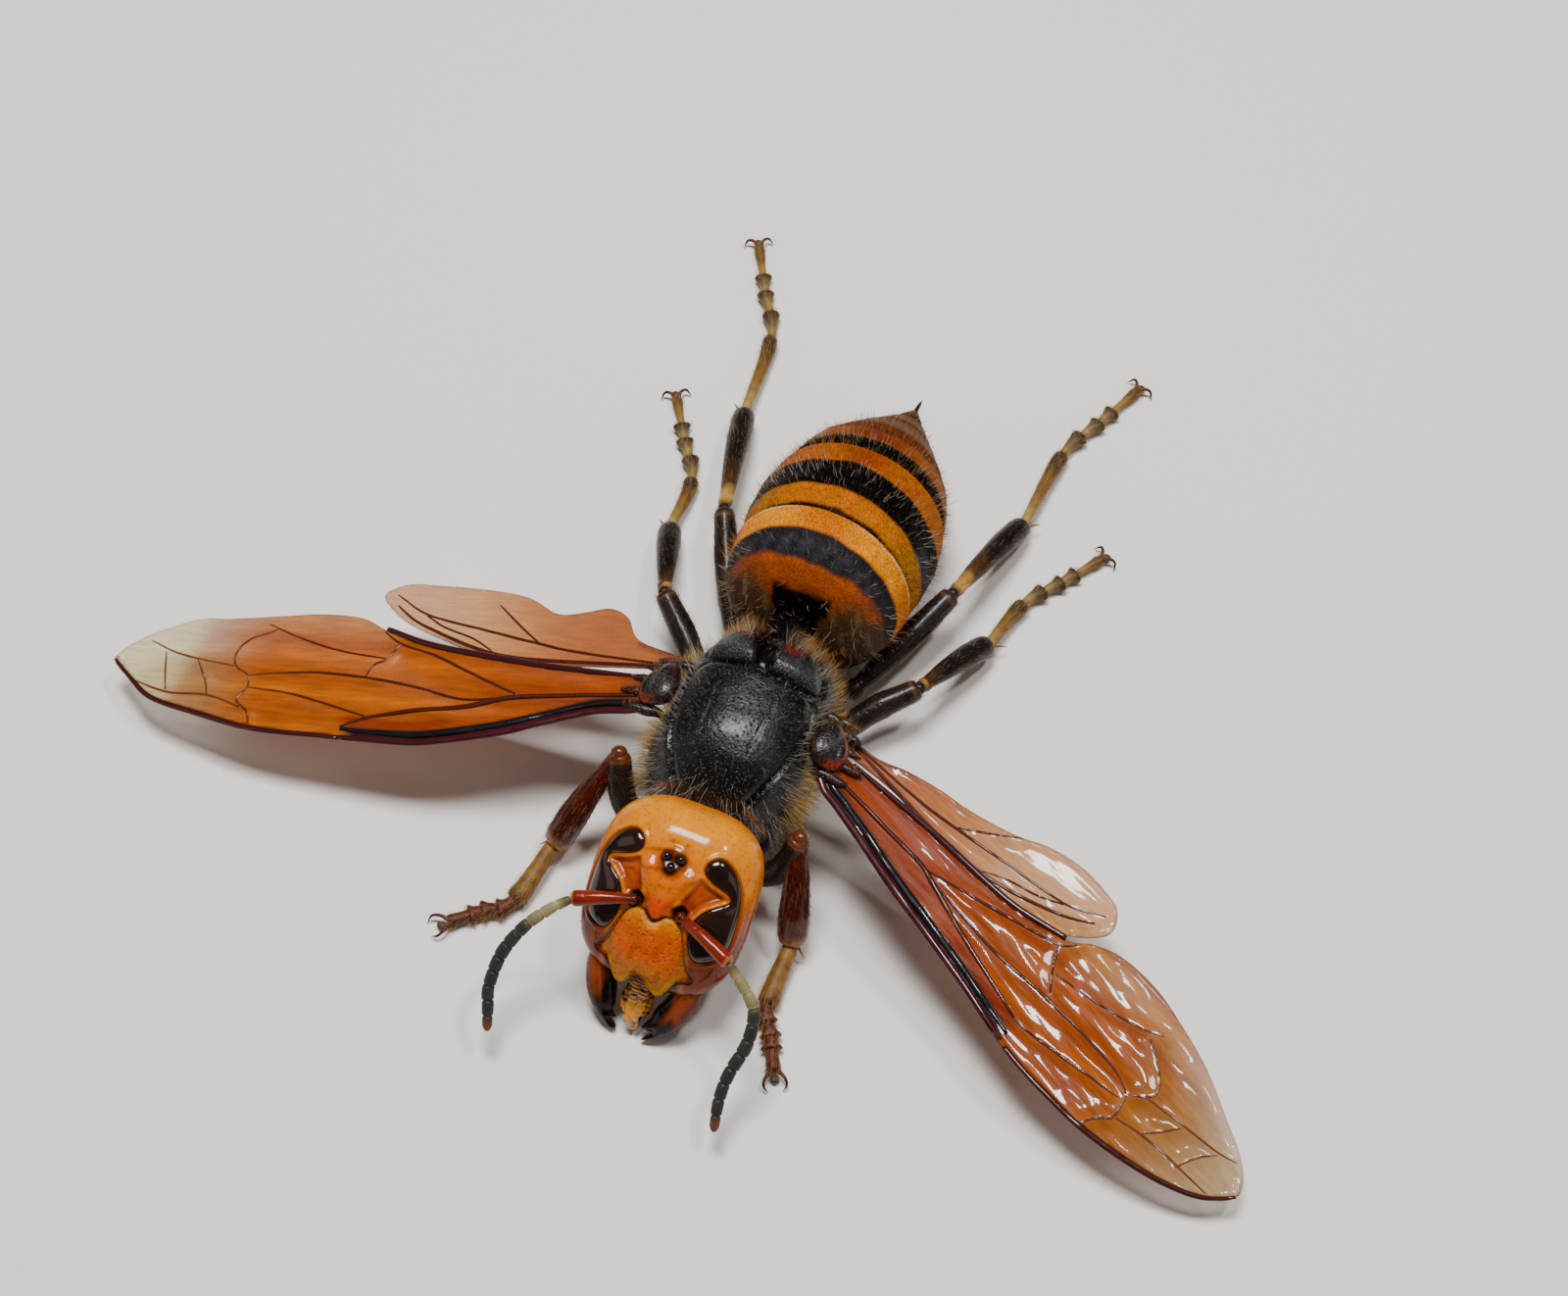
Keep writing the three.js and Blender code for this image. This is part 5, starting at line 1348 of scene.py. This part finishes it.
def wing_axes(name, drop):
    root, tip = (array(p) for p in WING_ENDS[name])
    span = unit(tip - root)
    chord = unit(np.cross(array([0, 0, 1]), span)) * (-1 if span[0] < 0 else 1)
    normal = np.cross(span, chord)
    normal = normal * np.sign(normal[2])
    return root - normal * drop, span, chord, normal


def wing_tint(name, lead, s, c):
    """The colour of a forewing and how solid it is; lead is its front edge."""
    tip, rear, inside = ease(26, 36, s), ease(1.6, 4.6, c), c - lead
    if name == "left":
        base, coats = "#983a04", [("#b05404", ease(8, 20, s)), ("#b47a2c", ease(25, 34, s)),
                                  ("#c09a56", ease(32, 37, s))]
    else:
        base, coats = "#a84a06", [("#ca6604", ease(6, 18, s)), ("#b87c36", ease(27, 32, s)),
                                  ("#ddc987", ease(32.2, 34.4, s + 0.3 * c))]
    dark = ease(1.35, 1.05, inside) * ease(-1.0, 1.0, s) * ease(21.5, 19.5, s)
    cell = ease(1.1, 1.4, inside) * ease(2.3, 1.7, inside) * ease(11.5, 14, s) * ease(21.5, 20, s)
    edge = ease(0.55, 0.35, inside) * ease(20.5, 21.5, s)
    joined = hump(c, 0.9 + 0.105 * s, 0.3) * ease(0, 2, s) * ease(19, 16, s)
    colour = tinted(base, s.shape, coats + [
        ("#cf8830", rear * ease(12, 20, s) * (1 - tip) * 0.7),
        ("#7c2a04", (0.35 + 0.35 * ripple(s * 0.5, c * 2.2, 91)) * (1 - 0.8 * tip)),
        ("#2e1216", dark),
        ("#701c06", cell * 0.8),
        ("#4a1a10", edge * (1 - 0.4 * tip)),
        ("#4a1208", joined * 0.8),
        ("#4a1c0a", ease(2.5, -0.5, s) * 0.7),
    ])
    solid = 0.84 - 0.36 * tip - 0.1 * rear + 0.08 * ease(8, 0, s)
    return colour, np.clip(solid + 0.5 * joined + dark + 0.3 * cell + 0.4 * edge, 0, 1)


def hindwing_tint(s, c, depth):
    colour = tinted("#ae560a", s.shape, [
        ("#cf8a40", ease(4, 14, s)),
        ("#5c2409", ease(0.55, 0.15, depth) * ease(17, 12, s) * (c < 3.9) * 0.7),
    ])
    return colour, 0.8 - 0.2 * ease(6, 18, s)


def make_wing(name, kind):
    fore = kind == "forewing"
    origin, span, chord, normal = wing_axes(name, 0 if fore else HINDWING_DROP)
    if fore:
        lead, trail = FOREWING_EDGES[name]
        points, veins = lead + trail, FOREWING_VEINS[name]
        lead_line = spline(lead, 80)[0]
    else:
        points, veins = HINDWING_EDGES[name], HINDWING_VEINS
    seed = {"left": 100, "right": 120}[name] + fore
    ring = loop(points, 240)
    smooth = [(r, spline(line, 26)[0]) for r, line in veins]

    def place(s, c, h):
        return origin + s[..., None] * span + c[..., None] * chord + h[..., None] * normal

    def height(s, c, depth):
        """The sheet sags between its veins and ripples along the wing."""
        near = np.min([line_distance(line, s, c) for _, line in smooth], axis=0)
        sag = -SAG * ease(0.05, 0.9, near) + WAVE * ripple(s * 0.3, c * 3.2, seed)
        sag += CRINKLE * ripple(s * 1.1, c * 4.5, seed + 3)
        return sag * ease(0.0, 0.5, depth)

    def face(way):
        return lambda s, c, depth: place(s, c, height(s, c, depth) + way * MEMBRANE_HALF * np.clip(depth / 0.1, 0, 1))

    clear = []

    def tint(s, c, depth):
        if fore:
            colour, solid = wing_tint(name, np.interp(s, lead_line[:, 0], lead_line[:, 1]), s, c)
        else:
            colour, solid = hindwing_tint(s, c, depth)
        clear.append(np.concatenate([solid, solid[depth > 0]]))
        return colour

    mesh = Mesh().lens(ring, 0.24, face(1), face(-1), tint)
    ribs = [(radius, line, "#4a1a0a") for radius, line in smooth]
    if fore:
        thick = lead_line[lead_line[:, 0] < 21]
        rear = spline(trail[-5:], 40)[0]
        ribs += [(0.32, thick + array([0, 0.24]), "#3e1016"),
                 (0.3, thick[thick[:, 0] > 0.3] + array([0, 0.86]), "#151214"),
                 (0.24, lead_line[lead_line[:, 0] > 20.5] + array([0, 0.14]), "#3e1210"),
                 (0.26, rear[rear[:, 0] > 0.2] + array([0, 0.1]), "#3a1014")]
    for radius, line, code in ribs:
        s, c = line.T
        path = place(s, c, height(s, c, edge_distance(ring, s, c)) + VEIN_LIFT)
        grid = rings(list(path), [(0, radius * 0.8), (0.5, radius), (0.85, radius * 0.8), (1, radius * 0.45)],
                     2 * max(14, len(line)), 10, 0.6, up=tuple(normal))
        mesh.tube(grid, tinted(code, grid.shape[:2], [
            ("#8a4a1c", ease(20, 34, (grid - origin) @ span) * 0.5 * (radius < 0.22))]))
        clear.append(np.ones(grid.shape[0] * grid.shape[1] + 2))
    places = np.vstack(mesh.places) - origin
    sheet = np.stack([places @ span, places @ chord, places @ normal], 1)
    piece(f"{kind}_sheet_{name}", mesh, WING, "wing_membrane", [f"{kind}_{name}"],
          extra={"solid": np.concatenate(clear), "sheet": sheet})


# Hairs: bristles sown on a skin, each with its own patch of the skin's unwrap

BRISTLE_INPUTS = [
    ("Skin", "NodeSocketGeometry", None), ("Density", "NodeSocketFloat", 1.0), ("Length", "NodeSocketFloat", 0.001),
    ("Shortest", "NodeSocketFloat", 0.5), ("Thickness", "NodeSocketFloat", 0.00003), ("Bend", "NodeSocketFloat", 0.3),
    ("Stand", "NodeSocketFloat", 0.6), ("Scatter", "NodeSocketFloat", 0.2), ("Seed", "NodeSocketInt", 1),
    ("Material", "NodeSocketMaterial", None),
]
PATCH = 0.003  # how much of the skin's unwrap a bristle covers
LOOSE_SEED, SIZE_SEED = 7, 3


def bristle_coat():
    tree = bpy.data.node_groups.new("bristle_coat", "GeometryNodeTree")
    for name, kind, value in BRISTLE_INPUTS:
        socket = tree.interface.new_socket(name=name, in_out="INPUT", socket_type=kind)
        if value is not None:
            socket.default_value = value
    tree.interface.new_socket(name="Coat", in_out="OUTPUT", socket_type="NodeSocketGeometry")
    given = add_node(tree, "NodeGroupInput").outputs
    stand = given["Stand"]

    # One bristle, one unit long: a bent stem with a thin three-sided section that tapers to its tip
    tip = add_node(tree, "ShaderNodeCombineXYZ", {0: given["Bend"], 2: 1.0}).outputs[0]
    stem = add_node(tree, "GeometryNodeCurveQuadraticBezier", {
        "Resolution": 3, "Start": (0, 0, 0), "Middle": (0, 0, 0.55), "End": tip}).outputs["Curve"]
    along = add_node(tree, "GeometryNodeSplineParameter").outputs["Factor"]
    taper = add_node(tree, "ShaderNodeMath", {0: 1.04, 1: along}, operation="SUBTRACT").outputs[0]
    radius = add_node(tree, "ShaderNodeMath", {
        0: given["Thickness"], 1: given["Length"]}, operation="DIVIDE").outputs[0]
    section = add_node(tree, "GeometryNodeCurvePrimitiveCircle", {"Resolution": 3, "Radius": radius}).outputs["Curve"]
    bristle = add_node(tree, "GeometryNodeCurveToMesh", {
        "Curve": stem, "Profile Curve": section, "Scale": taper, "Fill Caps": True}).outputs["Mesh"]
    position = add_node(tree, "GeometryNodeInputPosition").outputs[0]
    height = add_node(tree, "ShaderNodeSeparateXYZ", {0: position}).outputs
    patch = add_node(tree, "ShaderNodeCombineXYZ", {0: height[2], 1: height[0]}).outputs[0]
    bristle = add_node(tree, "GeometryNodeStoreNamedAttribute", {
        "Geometry": bristle, "Name": "patch", "Value": patch}, data_type="FLOAT_VECTOR", domain="POINT").outputs[0]

    # Sowing: thick where the skin's fur is, standing by the skin's normal and lying the way it says
    fur = add_node(tree, "GeometryNodeInputNamedAttribute", {"Name": "fur"}, data_type="FLOAT").outputs[0]
    thickly = add_node(tree, "ShaderNodeMath", {0: given["Density"], 1: fur}, operation="MULTIPLY").outputs[0]
    sown = add_node(tree, "GeometryNodeDistributePointsOnFaces", {
        "Mesh": given["Skin"], "Density": thickly, "Seed": given["Seed"]}, distribute_method="RANDOM").outputs
    seeds = [add_node(tree, "ShaderNodeMath", {0: given["Seed"], 1: shift}, operation="ADD").outputs[0]
             for shift in (LOOSE_SEED, SIZE_SEED)]
    strays = add_node(tree, "FunctionNodeRandomValue", {
        0: (-1, -1, -1), 1: (1, 1, 1), "Seed": seeds[0]}, data_type="FLOAT_VECTOR").outputs[0]
    sizes = add_node(tree, "FunctionNodeRandomValue", {
        2: given["Shortest"], 3: 1.0, "Seed": seeds[1]}, data_type="FLOAT").outputs[1]
    size = add_node(tree, "ShaderNodeMath", {0: given["Length"], 1: sizes}, operation="MULTIPLY").outputs[0]
    lie = add_node(tree, "GeometryNodeInputNamedAttribute", {"Name": "lie"}, data_type="FLOAT_VECTOR").outputs[0]
    flat = add_node(tree, "ShaderNodeMath", {0: 1.0, 1: stand}, operation="SUBTRACT").outputs[0]
    rising, lying, loose = (
        add_node(tree, "ShaderNodeVectorMath", {0: way, "Scale": much}, operation="SCALE").outputs[0]
        for way, much in ((sown["Normal"], stand), (lie, flat), (strays, given["Scatter"])))
    way = add_node(tree, "ShaderNodeVectorMath", {0: rising, 1: lying}, operation="ADD").outputs[0]
    way, bent_to = (add_node(tree, "ShaderNodeVectorMath", {0: main, 1: loose}, operation="ADD").outputs[0]
                    for main in (way, lie))
    turn = add_node(tree, "FunctionNodeAxesToRotation", {
        "Primary Axis": way, "Secondary Axis": bent_to}, primary_axis="Z", secondary_axis="X").outputs[0]
    planted = add_node(tree, "GeometryNodeInstanceOnPoints", {
        "Points": sown["Points"], "Instance": bristle, "Rotation": turn, "Scale": size}).outputs[0]
    coat = add_node(tree, "GeometryNodeRealizeInstances", {"Geometry": planted}).outputs[0]

    # Each bristle's own patch of the skin's unwrap
    skin, patch = (
        add_node(tree, "GeometryNodeInputNamedAttribute", {"Name": name}, data_type="FLOAT_VECTOR").outputs[0]
        for name in ("Skin", "patch"))
    small = add_node(tree, "ShaderNodeVectorMath", {0: patch, "Scale": PATCH}, operation="SCALE").outputs[0]
    own = add_node(tree, "ShaderNodeVectorMath", {0: skin, 1: small}, operation="ADD").outputs[0]
    coat = add_node(tree, "GeometryNodeStoreNamedAttribute", {
        "Geometry": coat, "Name": "OFBake", "Value": own}, data_type="FLOAT2", domain="CORNER").outputs[0]
    coat = add_node(tree, "GeometryNodeSetMaterial", {"Geometry": coat, "Material": given["Material"]}).outputs[0]
    add_node(tree, "NodeGroupOutput", {0: coat})
    return tree


def bristle(name, roughness):
    """Insect hair: a stiff chitin bristle, glossy along its length and paler to its tip."""
    material, tree = new_material(name)
    tint = add_node(tree, "ShaderNodeAttribute", attribute_name="coat").outputs["Color"]
    patch = add_node(tree, "ShaderNodeAttribute", attribute_name="patch").outputs["Vector"]
    reach = add_node(tree, "ShaderNodeSeparateXYZ", {0: patch}).outputs[0]
    paler = add_node(tree, "ShaderNodeMapRange", {
        "Value": reach, "From Min": 0.0, "From Max": 1.0, "To Min": 0.6, "To Max": 1.35}).outputs["Result"]
    colour = add_node(tree, "ShaderNodeVectorMath", {0: tint, "Scale": paler}, operation="SCALE").outputs["Vector"]
    shader = add_node(tree, "ShaderNodeBsdfPrincipled", {
        "Base Color": colour, "Roughness": roughness, "Specular IOR Level": 0.25})
    add_node(tree, "ShaderNodeOutputMaterial", {"Surface": shader.outputs["BSDF"]})
    return material


# Hairs of every part: stiff chitin bristles that catch a line of light
HAIR = bristle("chitin_bristle", 0.38)
COAT_TREE = bristle_coat()
COAT_SIZES = {
    # hairs per square millimetre, length, shortest share, thickness (mm), bend, stand, scatter
    "fringe": (26, 1.45, 0.35, 0.024, 0.35, 0.6, 0.35),
    "down": (5, 0.5, 0.3, 0.014, 0.6, 0.3, 0.5),
    "setae": (8, 0.95, 0.3, 0.022, 0.3, 0.85, 0.25),
    "nap": (14, 0.34, 0.5, 0.014, 0.35, 0.25, 0.22),
    "bristles": (22, 0.55, 0.35, 0.02, 0.25, 0.4, 0.25),
    "brow": (6, 0.36, 0.5, 0.013, 0.3, 0.6, 0.2),
}


def grow(name, skin, slot, kind, seed, density_attribute="fur", dim=1.0):
    """Plants a coat on a finished skin and keeps it as a plain mesh; dim darkens its hairs."""
    density, length, shortest, thickness, bend, stand, scatter = COAT_SIZES[kind]
    bed = skin.data.copy()
    if dim != 1:
        hues = np.empty(3 * len(bed.vertices))
        bed.attributes["coat"].data.foreach_get("vector", hues)
        bed.attributes["coat"].data.foreach_set("vector", hues * dim)
    if density_attribute != "fur":
        thick = np.empty(len(bed.vertices))
        bed.attributes[density_attribute].data.foreach_get("value", thick)
        bed.attributes["fur"].data.foreach_set("value", thick)
    sown = add_object(f"{name}_bed", bed)
    coat = sown.modifiers.new("coat", "NODES")
    coat.node_group = COAT_TREE
    given = {
        "Density": density / MM ** 2 * 1.0, "Length": length * MM, "Shortest": shortest,
        "Thickness": thickness * MM, "Bend": bend, "Stand": stand, "Scatter": scatter, "Seed": seed, "Material": HAIR,
    }
    for item in COAT_TREE.interface.items_tree:
        if item.name in given:
            coat[item.identifier] = given[item.name]
    evaluated = sown.evaluated_get(bpy.context.evaluated_depsgraph_get())
    data = bpy.data.meshes.new_from_object(evaluated)
    data.name = name
    places = np.empty((len(data.vertices), 3))
    data.vertices.foreach_get("co", places.ravel())
    data.vertices.foreach_set("co", above_floor(places).ravel())
    bpy.data.objects.remove(sown)
    return finish_piece(add_object(name, data), HAIR, slot, [])


head = make_head()
for antenna in SIDES:
    make_scape(antenna)
    make_flagellum(antenna)
thorax = make_thorax()
hinges = make_wing_bases()
gaster = make_gaster()
legs = [make_leg(name) for name in LEGS]
for wing in WING_ENDS:
    make_wing(wing, "forewing")
    make_wing(wing, "hindwing")
grow("head_hairs", head, "amber_cuticle", "brow", 3)
grow("thorax_fringe", thorax, "black_cuticle", "fringe", 5)
grow("thorax_down", thorax, "black_cuticle", "down", 7, "short")
grow("gaster_setae", gaster, "gaster_cuticle", "setae", 9)
grow("gaster_nap", gaster, "gaster_cuticle", "nap", 11, "nap", 0.16)
for number, hinge in enumerate(hinges):
    grow(f"{hinge.name}_hairs", hinge, "brown_cuticle", "bristles", 14 + number)
for number, pieces in enumerate(legs):
    for skin, slot in zip(pieces, ("leg_cuticle", "brown_cuticle", "tarsus_cuticle")):
        grow(f"{skin.name}_hairs", skin, slot, "bristles", 20 + number)


# Floor and lights


FLOOR_HALF = 0.9
LIGHTS = [
    # name, place, what it aims at, its size, watts and colour
    ("window", (-0.05, 0.04, 0.42), (0, -0.02, 0), (0.14, 0.1), 2.0, "#ffffff"),
    ("lamp", (0.145, 0.08, 0.43), (0.025, -0.03, 0), (0.035, 0.06), 0.6, "#ffffff"),
    ("fill_left", (-0.4, -0.25, 0.3), (0, -0.02, 0), (0.3, 0.3), 0.22, "#fff4e8"),
    ("fill_right", (0.42, -0.1, 0.25), (0, -0.02, 0), (0.3, 0.3), 0.2, "#fff6ee"),
]


def make_stage():
    """The floor: plain matt paper, which gives soft shadows and no shine."""
    span = FLOOR_HALF
    mesh = bpy.data.meshes.new("studio_floor")
    mesh.from_pydata([(-span, -span, 0), (span, -span, 0), (span, span, 0), (-span, span, 0)], [], [(0, 1, 2, 3)])
    paper = bpy.data.materials.new("matt_pale_paper")
    paper.use_nodes = True
    shader = paper.node_tree.nodes["Principled BSDF"]
    shader.inputs["Base Color"].default_value = rgba("#f6f0ea")
    shader.inputs["Roughness"].default_value = 0.9
    mesh.materials.append(paper)
    add_object("studio_floor", mesh)


def make_light(name, place, aim, size, watts, code):
    data = bpy.data.lights.new(name, "AREA")
    data.shape = "RECTANGLE"
    data.size, data.size_y = size
    data.energy = watts
    data.color = tuple(linear(code))
    place, aim = array(place), array(aim)
    back = unit(place - aim)
    right = unit(np.cross(array([0, 1, 0.01]), back))
    up = np.cross(back, right)
    turn = Matrix([[right[i], up[i], back[i]] for i in range(3)]).to_4x4()
    add_object(name, data).matrix_world = Matrix.Translation(place.tolist()) @ turn


make_stage()
for light in LIGHTS:
    make_light(*light)
world = bpy.data.worlds.new("studio")
world.use_nodes = True
world.node_tree.nodes["Background"].inputs["Color"].default_value = rgba("#f4f0ec")
world.node_tree.nodes["Background"].inputs["Strength"].default_value = 0.1
bpy.context.scene.world = world
